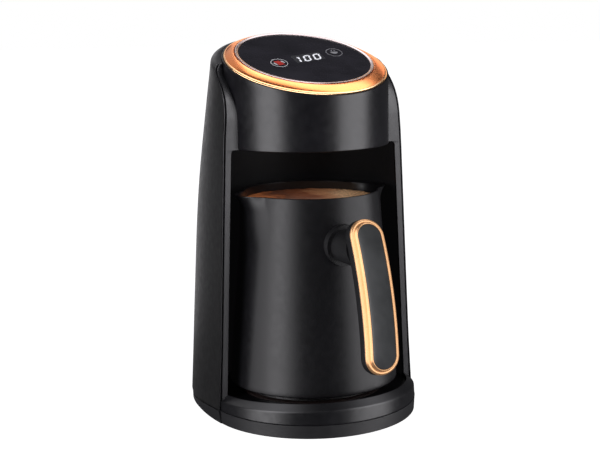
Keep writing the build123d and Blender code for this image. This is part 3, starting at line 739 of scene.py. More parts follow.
prof = [(0.01, 2.45, 1.1), (42.9, 2.45, 1.1), (43.27, 2.45, 1.4), (43.27, 2.45, 2.85), (43.2, 2.45, 3.03), (43.0, 2.45, 3.1),
        (40, 2.45, 3.1), (30, 2.45, 3.1), (20, 2.45, 3.1), (10, 2.45, 3.1), (0.01, 2.45, 3.1)]
g = np.array([tilted_loop(*p) for p in prof])
f = grid_faces(len(g), NT, False, True)
f += [tuple(range(NT)), tuple((len(g) - 1) * NT + k for k in range(NT))]
ob = piece("panel_face", g.reshape(-1, 3), f, M["panel_glass"], "housing", ("touch_panel",))
sharpen(ob, 60)

# ------------------------------------------------------------------ marks on the glass
GX, GY = None, None


def on_glass(x, y, n=0.03):
    """Point on the glass above the world x and y, raised by n along the normal."""
    z = TOP_Z + 3.1 / COS + TOP_TAN * (y - HEAD_Y)
    return (x, y - SIN * n, z + COS * n)


def stroke(points, w, closed=False):
    """Flat ribbon of width w along a 2-D polyline with mitred corners: (left, right) point lists."""
    p = np.array(points, float)
    n = len(p)
    L, R = [], []
    for i in range(n):
        a0 = p[i] - p[(i - 1) % n] if (closed or i > 0) else p[1] - p[0]
        a1 = p[(i + 1) % n] - p[i] if (closed or i < n - 1) else p[-1] - p[-2]
        a0, a1 = a0 / np.linalg.norm(a0), a1 / np.linalg.norm(a1)
        n0, n1 = np.array([-a0[1], a0[0]]), np.array([-a1[1], a1[0]])
        mid = n0 + n1
        mid /= np.linalg.norm(mid)
        k = min(1.6, 1 / max(0.3, mid @ n0))
        L.append(p[i] + mid * w / 2 * k)
        R.append(p[i] - mid * w / 2 * k)
    return L, R


def flat_marks(name, shapes, place, material, body="housing", thick=0.05, lift=0.02):
    """shapes: ('s', points, width, closed) ribbons or ('f', points) fills, in a 2-D frame; place maps it to 3-D with a height."""
    verts, faces = [], []
    for sh in shapes:
        if sh[0] == "s":
            L, R = stroke(sh[1], sh[2], sh[3])
            n = len(L)
            b = len(verts)
            for q in (L, R):
                verts += [place(v[0], v[1], lift + thick) for v in q]
            for q in (L, R):
                verts += [place(v[0], v[1], lift) for v in q]
            last = n if sh[3] else n - 1
            for i in range(last):
                j = (i + 1) % n
                faces.append((b + i, b + j, b + n + j, b + n + i))
                faces.append((b + 2 * n + i, b + 3 * n + i, b + 3 * n + j, b + 2 * n + j))
                faces.append((b + i, b + 2 * n + i, b + 2 * n + j, b + j))
                faces.append((b + n + i, b + n + j, b + 3 * n + j, b + 3 * n + i))
            if not sh[3]:
                faces.append((b, b + n, b + 3 * n, b + 2 * n))
                faces.append((b + n - 1, b + 3 * n - 1, b + 4 * n - 1, b + 2 * n - 1)[::-1])
                faces[-1] = (b + n - 1, b + 2 * n - 1, b + 4 * n - 1, b + 3 * n - 1)
        else:
            pts = sh[1]
            n = len(pts)
            b = len(verts)
            verts += [place(v[0], v[1], lift + thick) for v in pts]
            verts += [place(v[0], v[1], lift) for v in pts]
            faces.append(tuple(b + i for i in range(n)))
            faces.append(tuple(b + n + i for i in reversed(range(n))))
            for i in range(n):
                j = (i + 1) % n
                faces.append((b + i, b + n + i, b + n + j, b + j))
    return piece(name, verts, faces, material, body, smooth=False)


def frame2d(origin, ex, ey):
    def place(u, v, h):
        x = origin[0] + u * ex[0] + v * ey[0]
        y = origin[1] + u * ex[1] + v * ey[1]
        return on_glass(x, y, h)
    return place


def circle(r, n=48, cx=0, cy=0):
    return [(cx + r * math.cos(2 * math.pi * k / n), cy + r * math.sin(2 * math.pi * k / n)) for k in range(n)]


def rounded_box(w, h, r, n=6, cx=0, cy=0):
    out = []
    for k, (sx, sy) in enumerate([(1, 1), (-1, 1), (-1, -1), (1, -1)]):
        for i in range(n + 1):
            t = math.pi / 2 * (k + i / n)
            out.append((cx + sx * (w / 2 - r) + r * math.cos(t), cy + sy * (h / 2 - r) + r * math.sin(t)))
    return out


ROW_X = (0.961, 0.275)      # direction of the marks' row, rising to the right
ROW_Y = (0.175, 0.985)


def segment(u0, v0, u1, v1, w=1.25):
    """One lit segment of a digit, with pointed ends."""
    d = np.array([u1 - u0, v1 - v0], float)
    d /= np.linalg.norm(d)
    n_ = np.array([-d[1], d[0]])
    a_, b_ = np.array([u0, v0]), np.array([u1, v1])
    h = w / 2
    return ("f", [tuple(a_), tuple(a_ + d * h + n_ * h), tuple(b_ - d * h + n_ * h), tuple(b_), tuple(b_ - d * h - n_ * h), tuple(a_ + d * h - n_ * h)])


digits = []
for cx in (0.0, 8.1):
    hw, hh = 2.15, 4.35
    e = 0.12
    digits += [segment(cx - hw + e, hh, cx + hw - e, hh), segment(cx - hw + e, -hh, cx + hw - e, -hh),
               segment(cx - hw, e, cx - hw, hh - e), segment(cx - hw, -hh + e, cx - hw, -e),
               segment(cx + hw, e, cx + hw, hh - e), segment(cx + hw, -hh + e, cx + hw, -e)]
digits += [segment(-6.3, 0.25, -6.6, 4.2), segment(-6.0, -4.6, -6.3, -0.25), segment(-8.0, 3.3, -7.0, 3.9, 0.8)]
flat_marks("mark_digits", digits, frame2d((1.41, 2.55), ROW_X, ROW_Y), digit_light, lift=0.06, thick=0.04)
flat_marks("mark_window", [("f", rounded_box(23.5, 12.2, 1.0))], frame2d((2.6, 4.0), ROW_X, (-0.02, 1.0)), window_tint, lift=0.0, thick=0.02)


def oval(rx, ry, n=56, cx=0.0, cy=0.0):
    return [(cx + rx * math.cos(2 * math.pi * k / n), cy + ry * math.sin(2 * math.pi * k / n)) for k in range(n)]


LEFT_C, RIGHT_C = (-20.7, -4.0), (24.4, 11.6)
flat_marks("mark_ring_left", [("s", oval(5.6, 6.7), 0.5, True)], frame2d(LEFT_C, (1, 0.05), (0.1, 1)), mark_white)
flat_marks("mark_flag_left", [("f", [(-3.3, 2.9), (0.9, 3.9), (3.4, -2.6), (-0.9, -3.8)])], frame2d(LEFT_C, (1, 0.05), (0.1, 1)), mark_red)
flat_marks("mark_dots_left", [("f", [(-4.2, 0.4), (-3.0, 0.8), (-1.6, -2.8), (-2.9, -3.2)]), ("f", [(1.6, 3.4), (2.9, 3.2), (4.2, -0.2), (3.1, -0.6)])],
           frame2d(LEFT_C, (1, 0.05), (0.1, 1)), mark_white)
flat_marks("mark_ring_right", [("s", oval(5.6, 6.7), 0.42, True)], frame2d(RIGHT_C, (1, 0.05), (0.1, 1)), mark_grey)
bowl = [(2.6 * math.cos(q), 0.6 + 3.0 * math.sin(q)) for q in np.linspace(math.pi, 2 * math.pi, 15)] + [(2.6, 1.2), (-2.6, 1.2)]
flat_marks("mark_bowl_right", [("f", bowl), ("s", [(-1.2, 2.2), (-0.8, 3.1), (-1.1, 4.0)], 0.55, False), ("s", [(0.9, 2.2), (1.3, 3.1), (1.0, 4.0)], 0.55, False)],
           frame2d(RIGHT_C, (1, 0.05), (0.1, 1)), mark_grey)

# ------------------------------------------------------------------ base ring
def base_ring_mesh():
    """Collar round the recess: a full disc in front of y = -10.2 and a round plate of radius 63.55 behind it."""
    R1, YB, LEAN = 63.55, 10.2, 0.0571
    # radius, height, and how much of the collar's lean the row takes
    top = [(48.45, 17.0, 0), (56.0, 17.0, 0), (R1, 17.0, 0)]
    out = [(64.05, 17.02, 0), (64.2, 17.15, 0.1), (64.24, 17.6, 0.5), (64.26, 18.3, 1), (64.32, 18.56, 1), (64.48, 18.72, 1), (64.7, 18.76, 1),
           (64.95, 18.66, 1)]
    for f in np.linspace(0, 1, 11)[1:]:
        out.append((64.95 + (69.0 - 64.95) * f, 18.66 + (15.36 - 18.66) * f, 1))
    out += [(69.28, 15.1, 1), (69.48, 14.84, 1), (69.62, 14.5, 1), (69.7, 14.1, 1), (69.74, 13.6, 1)]
    for f in np.linspace(0, 1, 8)[1:-1]:
        out.append((69.74 + (69.98 - 69.74) * f, 13.6 + (10.15 - 13.6) * f, 1 - f))
    out += [(69.99, 10.1, 0), (69.98, 9.88, 0), (69.9, 9.72, 0), (69.72, 9.64, 0), (68.65, 9.62, 0), (68.45, 12.6, 0), (63.85, 14.2, 0)]
    under = [(R1, 14.35, 0), (62.0, 15.25, 0), (48.45, 15.25, 0)]
    front = top + out + under
    rear = top + under
    n1, n2 = 260, 200
    verts, faces = [], []

    def alpha(r):
        return math.asin(YB / max(r, R1))

    for r, z, k in front:
        a_ = alpha(r)
        for q in np.linspace(-math.pi + a_, -a_, n1):
            verts.append((r * math.cos(q), r * math.sin(q), z - k * LEAN * r * math.sin(q)))
    m = len(front)
    for i in range(m):
        for j in range(n1 - 1):
            faces.append((i * n1 + j, i * n1 + j + 1, ((i + 1) % m) * n1 + j + 1, ((i + 1) % m) * n1 + j))
    b0 = len(verts)
    a0 = alpha(R1)
    for r, z, k in rear:
        for q in np.linspace(-a0, math.pi + a0, n2):
            verts.append((r * math.cos(q), r * math.sin(q), z))
    m2 = len(rear)
    for i in range(m2):
        for j in range(n2 - 1):
            faces.append((b0 + i * n2 + j, b0 + i * n2 + j + 1, b0 + ((i + 1) % m2) * n2 + j + 1, b0 + ((i + 1) % m2) * n2 + j))
    first = len(top) - 1
    last = len(top) + len(out)
    faces.append(tuple(i * n1 + n1 - 1 for i in range(first, last + 1)))
    faces.append(tuple(i * n1 for i in reversed(range(first, last + 1))))
    return verts, faces


def collar_material():
    """The base's plastic, with a faint painted sheen glowing on the upper slope that swells twice round the front."""
    mt = mat("collar_black", (0.0048, 0.0048, 0.0060), 0.34, spec=0.45, grain=2000, bump=0.12)
    nt = mt.node_tree
    bs = nt.nodes["Principled BSDF"]
    tc = nt.nodes.new("ShaderNodeTexCoord")
    sep = nt.nodes.new("ShaderNodeSeparateXYZ")
    nt.links.new(tc.outputs["Object"], sep.inputs["Vector"])

    def math_node(op, a_, b_=None, c_=None):
        nd = nt.nodes.new("ShaderNodeMath")
        nd.operation = op
        for k, q in enumerate((a_, b_, c_)):
            if q is None:
                continue
            if isinstance(q, (int, float)):
                nd.inputs[k].default_value = q
            else:
                nt.links.new(q, nd.inputs[k])
        return nd.outputs[0]

    minus_y = math_node("MULTIPLY", sep.outputs["Y"], -1.0)
    ang = math_node("ARCTAN2", sep.outputs["X"], minus_y)
    total = None
    for centre, width, amount in ((-41.0, 9.0, PAINTED_SHEEN[0]), (14.0, 9.5, PAINTED_SHEEN[1])):
        t_ = math_node("MULTIPLY", math_node("SUBTRACT", ang, math.radians(centre)), 1 / math.radians(width))
        g_ = math_node("MULTIPLY", math_node("EXPONENT", math_node("MULTIPLY", math_node("MULTIPLY", t_, t_), -0.5)), amount)
        total = g_ if total is None else math_node("ADD", total, g_)
    total = math_node("ADD", total, 0.0015)
    rr = math_node("SQRT", math_node("ADD", math_node("MULTIPLY", sep.outputs["X"], sep.outputs["X"]),
                                     math_node("MULTIPLY", sep.outputs["Y"], sep.outputs["Y"])))
    inner = nt.nodes.new("ShaderNodeMapRange")
    inner.inputs["From Min"].default_value, inner.inputs["From Max"].default_value = 0.0646, 0.0649
    nt.links.new(rr, inner.inputs["Value"])
    high = nt.nodes.new("ShaderNodeMapRange")
    high.inputs["From Min"].default_value, high.inputs["From Max"].default_value = 0.0138, 0.0147
    nt.links.new(math_node("ADD", sep.outputs["Z"], math_node("MULTIPLY", sep.outputs["Y"], 0.0571)), high.inputs["Value"])
    total = math_node("MULTIPLY", math_node("MULTIPLY", total, inner.outputs["Result"]), high.outputs["Result"])
    no = nt.nodes.new("ShaderNodeTexNoise")
    no.inputs["Scale"].default_value = 900
    nt.links.new(tc.outputs["Object"], no.inputs["Vector"])
    vary = math_node("MULTIPLY_ADD", no.outputs["Fac"], 0.3, 0.85)
    # painted sheen: emission on the slope, set by angle round the front, stands in for its highlights
    nt.links.new(math_node("MULTIPLY", total, vary), bs.inputs["Emission Strength"])
    bs.inputs["Emission Color"].default_value = (0.96, 0.95, 1.0, 1)
    return mt


PAINTED_SHEEN = (0.072, 0.058)
v, f = base_ring_mesh()
ob = piece("base_collar", v, f, collar_material(), "housing", ("base_ring",))
sharpen(ob, 42)


# ------------------------------------------------------------------ pot
POT_R0, POT_Z0, POT_R1, POT_Z1, POT_T = 56.5, 23.0, 45.1, 149.84, 1.2


def pot_r(z):
    return POT_R0 + (POT_R1 - POT_R0) * (z - POT_Z0) / (POT_Z1 - POT_Z0)


def smooth01(x):
    x = np.clip(x, 0, 1)
    return x * x * (3 - 2 * x)


def spout_excess(phi, z):
    """How far the pouring lip stands out of the wall at an angle phi from its middle."""
    e = 2.4 * smooth01((z - 112) / 28.0) + 6.7 * max(0.0, (z - 138.5) / 11.34) ** 1.8
    w = math.radians(27 - 4 * smooth01((z - 136) / 14))
    core = np.sqrt((phi / w) ** 2 + 0.010)
    k = np.clip(1.1 - core, 0, None) / (1.1 - math.sqrt(0.010))
    return e * smooth01(k) ** 0.85


def pot_mesh():
    n = 480
    t = np.linspace(0, 2 * np.pi, n, endpoint=False)
    phi_r = (t + np.pi) % (2 * np.pi) - np.pi
    phi_l = (t) % (2 * np.pi) - np.pi
    rows = []

    def add(r, z, out=0.0):
        ex = spout_excess(phi_r, z) + spout_excess(phi_l, z)
        rr = r + (ex if r > 30 else 0.0)
        rows.append(np.stack([rr * np.cos(t), rr * np.sin(t), np.full(n, z)], -1))
    add(0.05, 23.0)
    add(30, 23.0)
    add(POT_R0 - 0.87, 23.0)
    for k in range(1, 6):
        q = math.pi / 2 * k / 5
        add(POT_R0 - 0.87 + 0.8 * math.sin(q), 23.0 + 0.8 - 0.8 * math.cos(q))
    for z in list(np.linspace(27, 116, 15)) + list(np.linspace(116, 148.9, 34)[1:]):
        add(pot_r(z), z)
    add(pot_r(149.4) - 0.02, 149.4)
    add(pot_r(149.84) - 0.16, 149.72)
    add(pot_r(149.84) - 0.45, 149.84)
    add(pot_r(149.84) - 0.80, 149.84)
    add(pot_r(149.84) - 1.08, 149.7)
    add(pot_r(149.3) - 1.2, 149.3)
    for z in list(np.linspace(148.6, 116, 30)) + list(np.linspace(116, 29, 12)[1:]):
        add(pot_r(z) - 1.2, z)
    add(POT_R0 - 4.0, 25.2)
    add(POT_R0 - 7.0, 24.4)
    add(30, 24.4)
    add(0.05, 24.4)
    return np.array(rows), n


g, n = pot_mesh()
f = grid_faces(len(g), n, False, True)
f += [tuple(range(n)), tuple((len(g) - 1) * n + k for k in range(n))]
sharpen(piece("pot_shell", turned(g.reshape(-1, 3)), f, M["pot_coat"], "pot", ("pot_body",)), 60)

# ------------------------------------------------------------------ coffee in the pot
def coffee_material():
    mt = bpy.data.materials.new("coffee_surface")
    mt.use_nodes = True
    nt = mt.node_tree
    nt.nodes.clear()
    out = nt.nodes.new("ShaderNodeOutputMaterial")
    bs = nt.nodes.new("ShaderNodeBsdfPrincipled")
    nt.links.new(bs.outputs["BSDF"], out.inputs["Surface"])
    tc = nt.nodes.new("ShaderNodeTexCoord")
    sep = nt.nodes.new("ShaderNodeSeparateXYZ")
    nt.links.new(tc.outputs["Object"], sep.inputs["Vector"])
    no = nt.nodes.new("ShaderNodeTexNoise")
    no.inputs["Scale"].default_value = 38
    no.inputs["Detail"].default_value = 6
    no.inputs["Distortion"].default_value = 0.6
    nt.links.new(tc.outputs["Object"], no.inputs["Vector"])
    # the colour runs from the back left to the front right, broken up by the noise
    ax = nt.nodes.new("ShaderNodeMath")
    ax.operation = "MULTIPLY_ADD"
    ax.inputs[1].default_value = 9.5
    ax.inputs[2].default_value = 0.40
    nt.links.new(sep.outputs["X"], ax.inputs[0])
    ay = nt.nodes.new("ShaderNodeMath")
    ay.operation = "MULTIPLY_ADD"
    ay.inputs[1].default_value = -3.2
    nt.links.new(sep.outputs["Y"], ay.inputs[0])
    nt.links.new(ax.outputs[0], ay.inputs[2])
    ad = nt.nodes.new("ShaderNodeMath")
    ad.operation = "ADD"
    nt.links.new(ay.outputs[0], ad.inputs[0])
    sc = nt.nodes.new("ShaderNodeMath")
    sc.operation = "MULTIPLY_ADD"
    sc.inputs[1].default_value = 0.55
    sc.inputs[2].default_value = -0.27
    nt.links.new(no.outputs["Fac"], sc.inputs[0])
    nt.links.new(sc.outputs[0], ad.inputs[1])
    cr = nt.nodes.new("ShaderNodeValToRGB")
    el = cr.color_ramp.elements
    el[0].position, el[0].color = 0.0, (0.50, 0.17, 0.06, 1)
    el[1].position, el[1].color = 1.0, (0.55, 0.23, 0.085, 1)
    for p, c in ((0.14, (0.30, 0.09, 0.03, 1)), (0.26, (0.075, 0.022, 0.009, 1)), (0.42, (0.13, 0.04, 0.016, 1)), (0.54, (0.36, 0.17, 0.085, 1)),
                 (0.66, (0.66, 0.42, 0.25, 1)), (0.82, (0.60, 0.36, 0.20, 1))):
        e = el.new(p)
        e.color = c
    nt.links.new(ad.outputs[0], cr.inputs["Fac"])
    # bubbles: small dark cell edges, only in the foam
    cells = nt.nodes.new("ShaderNodeTexVoronoi")
    cells.inputs["Scale"].default_value = 620
    nt.links.new(tc.outputs["Object"], cells.inputs["Vector"])
    edge = nt.nodes.new("ShaderNodeMapRange")
    edge.inputs["From Min"].default_value, edge.inputs["From Max"].default_value = 0.25, 0.75
    edge.inputs["To Min"].default_value, edge.inputs["To Max"].default_value = 1.0, 0.45
    nt.links.new(cells.outputs["Distance"], edge.inputs["Value"])
    foam = nt.nodes.new("ShaderNodeMapRange")
    foam.inputs["From Min"].default_value, foam.inputs["From Max"].default_value = 0.45, 0.60
    nt.links.new(ad.outputs[0], foam.inputs["Value"])
    mx = nt.nodes.new("ShaderNodeMix")
    mx.data_type = "RGBA"
    mx.blend_type = "MULTIPLY"
    nt.links.new(foam.outputs["Result"], mx.inputs["Factor"])
    nt.links.new(cr.outputs["Color"], mx.inputs["A"])
    nt.links.new(edge.outputs["Result"], mx.inputs["B"])
    nt.links.new(mx.outputs["Result"], bs.inputs["Base Color"])
    vo = nt.nodes.new("ShaderNodeTexVoronoi")
    vo.inputs["Scale"].default_value = 420
    nt.links.new(tc.outputs["Object"], vo.inputs["Vector"])
    bp = nt.nodes.new("ShaderNodeBump")
    bp.inputs["Strength"].default_value = 0.5
    bp.inputs["Distance"].default_value = 0.0004
    nt.links.new(vo.outputs["Distance"], bp.inputs["Height"])
    nt.links.new(bp.outputs["Normal"], bs.inputs["Normal"])
    mr = nt.nodes.new("ShaderNodeMapRange")
    mr.inputs["To Min"].default_value, mr.inputs["To Max"].default_value = 0.25, 0.6
    nt.links.new(no.outputs["Fac"], mr.inputs["Value"])
    nt.links.new(mr.outputs["Result"], bs.inputs["Roughness"])
    return mt


def coffee_mesh():
    z0, n = 143.4, 240
    t = np.linspace(0, 2 * np.pi, n, endpoint=False)
    R = pot_r(z0) - 1.2 - 0.05
    rows = []
    for f in np.linspace(0.002, 1, 36):
        r = R * f
        x, y = r * np.cos(t), r * np.sin(t)
        z = z0 + 0.16 * np.sin(x * 0.35 + 1.0) * np.cos(y * 0.31) + 0.10 * np.sin(x * 0.9 + y * 0.7)
        z = z + (0.7 * max(0.0, (f - 0.965) / 0.035) ** 2)
        rows.append(np.stack([x, y, z], -1))
    for zz, f in ((z0 - 1.0, 1.0), (z0 - 1.2, 0.97), (z0 - 1.2, 0.002)):
        r = R * f
        rows.append(np.stack([r * np.cos(t), r * np.sin(t), np.full(n, zz)], -1))
    return np.array(rows), n


g, n = coffee_mesh()
f = grid_faces(len(g), n, False, True)
f += [tuple(range(n)), tuple((len(g) - 1) * n + k for k in range(n))]
piece("coffee_fill", turned(g.reshape(-1, 3)), f, coffee_material(), "pot")

# ------------------------------------------------------------------ grip
GA, GB = np.array([0, -78.73, 129.9]), np.array([0, -97.23, 59.1])
GU = (GB - GA) / np.linalg.norm(GB - GA)
GN = np.array([0, -1.0, 0]) - GU * (GU @ np.array([0, -1.0, 0]))
GN /= np.linalg.norm(GN)
GLEN = float(np.linalg.norm(GB - GA))
GM = (GA + GB) / 2
GRIP_BOW, GRIP_W = 3.4, 11.3
_k = GRIP_BOW / (GLEN / 2) ** 2
_rad = 1 / (2 * _k)


def bow(u):
    return GRIP_BOW - (_rad - np.sqrt(_rad * _rad - u * u))


def slot_loop(w, n_arc=28, n_line=26):
    """Outline of a slot of half width w: (u, t) points."""
    pts = []
    for k in range(n_line):
        f = k / n_line
        pts.append((-GLEN / 2 + GLEN * f, w))
    for k in range(n_arc):
        q = math.pi / 2 - math.pi * k / n_arc
        pts.append((GLEN / 2 + w * math.cos(q), w * math.sin(q)))
    for k in range(n_line):
        f = k / n_line
        pts.append((GLEN / 2 - GLEN * f, -w))
    for k in range(n_arc):
        q = -math.pi / 2 - math.pi * k / n_arc
        pts.append((-GLEN / 2 + w * math.cos(q), w * math.sin(q)))
    return np.array(pts)


def grip_rows(prof):
    rows = []
    for w, h in prof:
        p = slot_loop(w)
        u, t = p[:, 0], p[:, 1]
        rows.append(GM + u[:, None] * GU + t[:, None] * np.array([1.0, 0, 0]) + (bow(u) + h)[:, None] * GN)
    return np.array(rows)


def grip_piece(name, prof, material, rep, closed):
    g = grip_rows(prof)
    k = g.shape[1]
    f = grid_faces(len(g), k, closed, True)
    if not closed:
        # close both ends with strips that join mirrored points of the outline
        n_arc = 28
        half = n_arc // 2
        n_line = k // 2 - n_arc
        for row in (0, len(g) - 1):
            for i in range(-half, n_line + half):
                q = [i % k, (i + 1) % k, (k - n_arc - i - 1) % k, (k - n_arc - i) % k]
                u = []
                for w_ in q:
                    if w_ not in u:
                        u.append(w_)
                f.append(tuple(row * k + w_ for w_ in u))
    return sharpen(piece(name, turned(g.reshape(-1, 3)), f, material, "pot", rep), 60)


trim_prof = [(11.28, 0.02), (11.30, 0.9), (11.22, 1.35), (11.0, 1.75), (10.65, 2.02), (10.2, 2.14), (9.85, 2.12), (9.62, 2.06), (9.5, 2.12),
             (9.42, 2.25), (9.32, 2.8), (9.15, 3.4), (8.92, 3.95), (8.65, 4.35), (8.38, 4.55), (8.15, 4.55), (8.0, 4.38), (7.96, 4.1), (7.96, 0.02)]
grip_piece("trim_gold", trim_prof, M["grip_gold"], ("grip_trim",), True)
ins_prof = [(1.6, 0.1), (7.0, 0.1), (7.85, 0.2), (7.88, 3.95), (7.8, 4.18), (7.55, 4.32), (6.8, 4.44), (5.2, 4.6), (3.2, 4.72), (1.6, 4.78)]
grip_piece("inlay", ins_prof, M["insert_black"], ("grip_insert",), False)
body_prof = [(1.6, -9.6), (3.0, -9.6), (6.6, -9.45), (8.6, -9.0), (9.9, -8.1), (10.75, -6.9), (11.15, -5.4), (11.28, -3.6), (11.29, -0.7),
             (11.22, -0.25), (11.0, -0.05), (9.0, -0.03), (4.0, -0.03), (1.6, -0.03)]
grip_piece("grip_core", body_prof, M["grip_black"], ("grip_body",), False)

# the sensor's spring, built as one coil; the real spring shortens as the sensor goes down
TURNS, LONG, WIRE = 4.5, 5.5, 0.4
t_ = np.linspace(0, TURNS * 2 * math.pi, 145)
er = np.stack([np.cos(t_), np.sin(t_), 0 * t_], -1)
mid = 4.1 * er + np.stack([0 * t_, 0 * t_, 6.45 + LONG * t_ / (TURNS * 2 * math.pi)], -1)
tan = np.stack([-4.1 * np.sin(t_), 4.1 * np.cos(t_), 0 * t_ + LONG / (TURNS * 2 * math.pi)], -1)
tan = tan / np.linalg.norm(tan, axis=1)[:, None]
bi = np.cross(tan, er)
a_ = np.linspace(0, 2 * math.pi, 13)[:-1]
g = mid[:, None, :] + WIRE * (np.cos(a_)[None, :, None] * er[:, None, :] + np.sin(a_)[None, :, None] * bi[:, None, :])
f = grid_faces(len(t_), 12, False, True)
f.append(tuple(range(11, -1, -1)))
f.append(tuple((len(t_) - 1) * 12 + k for k in range(12)))
ob = piece("sensor_coil", g.reshape(-1, 3), f, M["spring_steel"], "housing", ("sensor_spring",))
sharpen(ob, 60)
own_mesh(ob)

# painted light: a faint warm emission on the grip's gold trim brightens it beyond its lamps
gold_bs = M["grip_gold"].node_tree.nodes["Principled BSDF"]
gold_bs.inputs["Emission Color"].default_value = (0.92, 0.50, 0.24, 1)
gold_bs.inputs["Emission Strength"].default_value = 0.16

# ------------------------------------------------------------------ stage
def emission_floor():
    mt = bpy.data.materials.new("floor_pale")
    mt.use_nodes = True
    bs = mt.node_tree.nodes["Principled BSDF"]
    bs.inputs["Base Color"].default_value = (0.9, 0.9, 0.9, 1)
    bs.inputs["Roughness"].default_value = 0.8
    bs.inputs["Specular IOR Level"].default_value = 0.0
    bs.inputs["Emission Color"].default_value = (1, 1, 1, 1)
    bs.inputs["Emission Strength"].default_value = 1.08
    return mt


def disc(name, radius, z, mt):
    n = 96
    me = bpy.data.meshes.new(name)
    me.from_pydata([(radius * math.cos(2 * math.pi * k / n), radius * math.sin(2 * math.pi * k / n), z) for k in range(n)], [], [tuple(range(n))])
    me.materials.append(mt)
    ob = bpy.data.objects.new(name, me)
    scene.collection.objects.link(ob)
    return ob


floor = disc("floor", 9.0, 0.0, emission_floor())
floor.visible_glossy = False
floor.visible_shadow = False
floor.visible_diffuse = False


def dome():
    n, k = 96, 24
    v, f = [], []
    for j in range(k + 1):
        e = math.pi / 2 * j / k
        for i in range(n):
            q = 2 * math.pi * i / n
            v.append((8.9 * math.cos(e) * math.cos(q), 8.9 * math.cos(e) * math.sin(q), 8.9 * math.sin(e) - 0.001))
    for j in range(k):
        for i in range(n):
            f.append((j * n + i, j * n + (i + 1) % n, (j + 1) * n + (i + 1) % n, (j + 1) * n + i))
    me = bpy.data.meshes.new("backdrop")
    me.from_pydata(v, [], f)
    mt = bpy.data.materials.new("backdrop_white")
    mt.use_nodes = True
    bs = mt.node_tree.nodes["Principled BSDF"]
    bs.inputs["Base Color"].default_value = (0, 0, 0, 1)
    bs.inputs["Specular IOR Level"].default_value = 0.0
    bs.inputs["Emission Color"].default_value = (1, 1, 1, 1)
    bs.inputs["Emission Strength"].default_value = 1.0
    me.materials.append(mt)
    ob = bpy.data.objects.new("backdrop", me)
    scene.collection.objects.link(ob)
    ob.visible_glossy = ob.visible_diffuse = ob.visible_shadow = ob.visible_transmission = False
    return ob


dome()

world = bpy.data.worlds.new("studio")
world.use_nodes = True
world.node_tree.nodes["Background"].inputs["Color"].default_value = (0.96, 0.96, 1.0, 1)
world.node_tree.nodes["Background"].inputs["Strength"].default_value = 0.06
scene.world = world


# ------------------------------------------------------------------ lights
def area(name, rel_deg, dist, z, w, h, radiance, color=(1, 1, 1), target_z=0.12, tilt=None):
    """Softbox at an angle from the camera's side, seen from above: 0 is over the camera, positive to the picture's right."""
    az = AZ + math.radians(rel_deg)
    loc = Vector((dist * math.sin(az), -dist * math.cos(az), z))
    ld = bpy.data.lights.new(name, "AREA")
    ld.shape = "RECTANGLE"
    ld.size, ld.size_y = w, h
    ld.energy = radiance * math.pi * w * h
    ld.color = color
    ob = bpy.data.objects.new(name, ld)
    ob.location = loc
    aim = Vector((0, 0, z if tilt is None else target_z)) - loc
    ob.rotation_mode = "QUATERNION"
    ob.rotation_quaternion = aim.to_track_quat("-Z", "Y")
    scene.collection.objects.link(ob)
    return ob


def link(light, names):
    """The light shines only on the named objects."""
    col = bpy.data.collections.new("lit_by_" + light.name)
    for n_ in names:
        col.objects.link(n_)
    light.light_linking.receiver_collection = col


def obj(name):
    return bpy.data.objects[name]


RING = [obj("ring_gold"), obj("lip_silver")]
POT = [obj("pot_shell"), obj("grip_core"), NODES["handle_stub"], NODES["handle_screw"]]
TRIM = [obj("trim_gold")]
INLAY = [obj("inlay")]
COFFEE = [obj("coffee_fill")]
GLASS = [obj("panel_face")]
STRIPS = [obj("strip_left"), obj("strip_right")]
SHELL = [obj("shell_skin")]
UNDER = [NODES["pot_base"]]
special = set(RING + POT + TRIM + INLAY + COFFEE + GLASS + STRIPS + SHELL + UNDER)
HOUSING = [o for o in scene.objects if o.type == "MESH" and o not in special and o.name not in ("floor", "backdrop")]

WHITE = (0.985, 0.97, 1.0)
link(area("box_left", -51.5, 1.6, 0.45, 1.05, 2.4, 4.3, WHITE), HOUSING)
link(area("box_right", 68.0, 1.6, 0.45, 1.30, 2.4, 3.9, WHITE), HOUSING)
link(area("strip_front", 44, 1.6, 1.42, 1.9, 3.1, 4.6, WHITE), STRIPS + SHELL)
link(area("strip_high", 42, 1.0, 1.8, 1.2, 0.9, 3.0, WHITE, target_z=0.23, tilt=1), STRIPS + SHELL)
link(area("rim_left", -163, 1.7, 0.60, 0.9, 1.9, 0.85, WHITE), HOUSING + STRIPS + SHELL)
link(area("side_left", -136, 1.6, 0.45, 1.7, 2.4, 0.055, WHITE), SHELL)
link(area("high_left", -112, 1.3, 1.35, 1.0, 0.8, 1.1, WHITE, target_z=0.2, tilt=1), HOUSING + STRIPS + SHELL)
link(area("glass_fill", 0, 1.6, 0.6, 2.0, 1.4, 5.6, WHITE, target_z=0.24, tilt=1), GLASS)
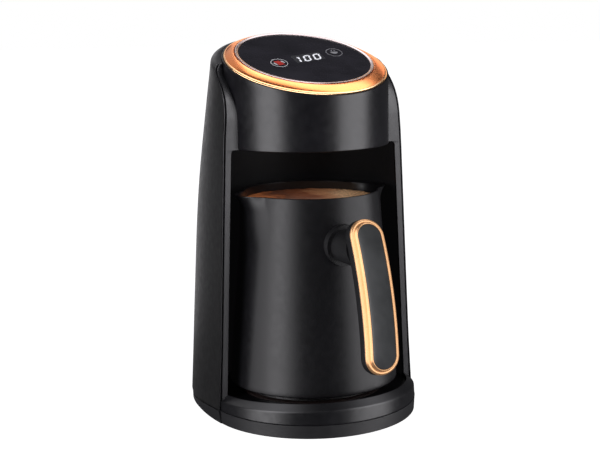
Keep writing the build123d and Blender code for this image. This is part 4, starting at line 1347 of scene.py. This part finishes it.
link(area("pot_left_core", -50, 1.6, 0.2, 0.7, 2.8, 2.2, WHITE), POT)
link(area("pot_left_wide", -60, 1.6, 0.2, 2.2, 2.8, 1.2, WHITE), POT)
link(area("pot_right", 81, 1.6, 0.2, 1.7, 2.8, 1.9, WHITE), POT)
link(area("pot_top", 160, 0.6, 1.4, 1.0, 0.8, 1.6, WHITE, target_z=0.12, tilt=1), POT + TRIM)
# the grip's trim has a broad front light of its own, and its inlay a softer one
link(area("trim_left", -95, 1.3, 0.45, 1.9, 2.6, 1.45, (1.0, 0.985, 0.95)), TRIM)
link(area("trim_mid", -30, 1.35, 0.55, 1.7, 2.6, 1.25, (1.0, 0.985, 0.95)), TRIM)
link(area("trim_front", 38, 1.3, 0.60, 1.7, 2.6, 1.35, (1.0, 0.985, 0.95)), TRIM)
link(area("trim_right", 110, 1.4, 0.30, 1.2, 2.2, 0.45, (1.0, 0.93, 0.88)), TRIM)
link(area("inlay_front", 8, 1.5, 0.65, 1.6, 2.2, 3.3, WHITE), INLAY)
# the ring's own surround: a bright panel overhead, warm and dimmer ones low behind
link(area("ring_top", 150, 0.75, 1.55, 1.5, 0.8, 3.2, (1.0, 0.99, 0.97), target_z=0.24, tilt=1), RING)
link(area("ring_right", 166, 1.6, 0.60, 1.5, 0.9, 1.35, (1.0, 0.62, 0.36), target_z=0.24, tilt=1), RING)
link(area("ring_left", -150, 1.2, 1.25, 1.3, 0.9, 0.55, (1.0, 0.93, 0.88), target_z=0.24, tilt=1), RING)
link(area("ring_front", 0, 1.6, 0.9, 2.6, 1.4, 2.6, (1.0, 0.98, 0.95), target_z=0.24, tilt=1), RING)
link(area("bead_left", -75, 1.6, 0.38, 2.4, 0.72, 5.0, (1.0, 0.98, 0.95)), RING)
link(area("bead_front", 0, 1.6, 0.38, 2.0, 0.72, 4.0, (1.0, 0.98, 0.95)), RING)
link(area("over_coffee", 0, 0.0, 0.176, 0.07, 0.07, 1.6, (1.0, 0.95, 0.88), target_z=0.1, tilt=1), COFFEE)
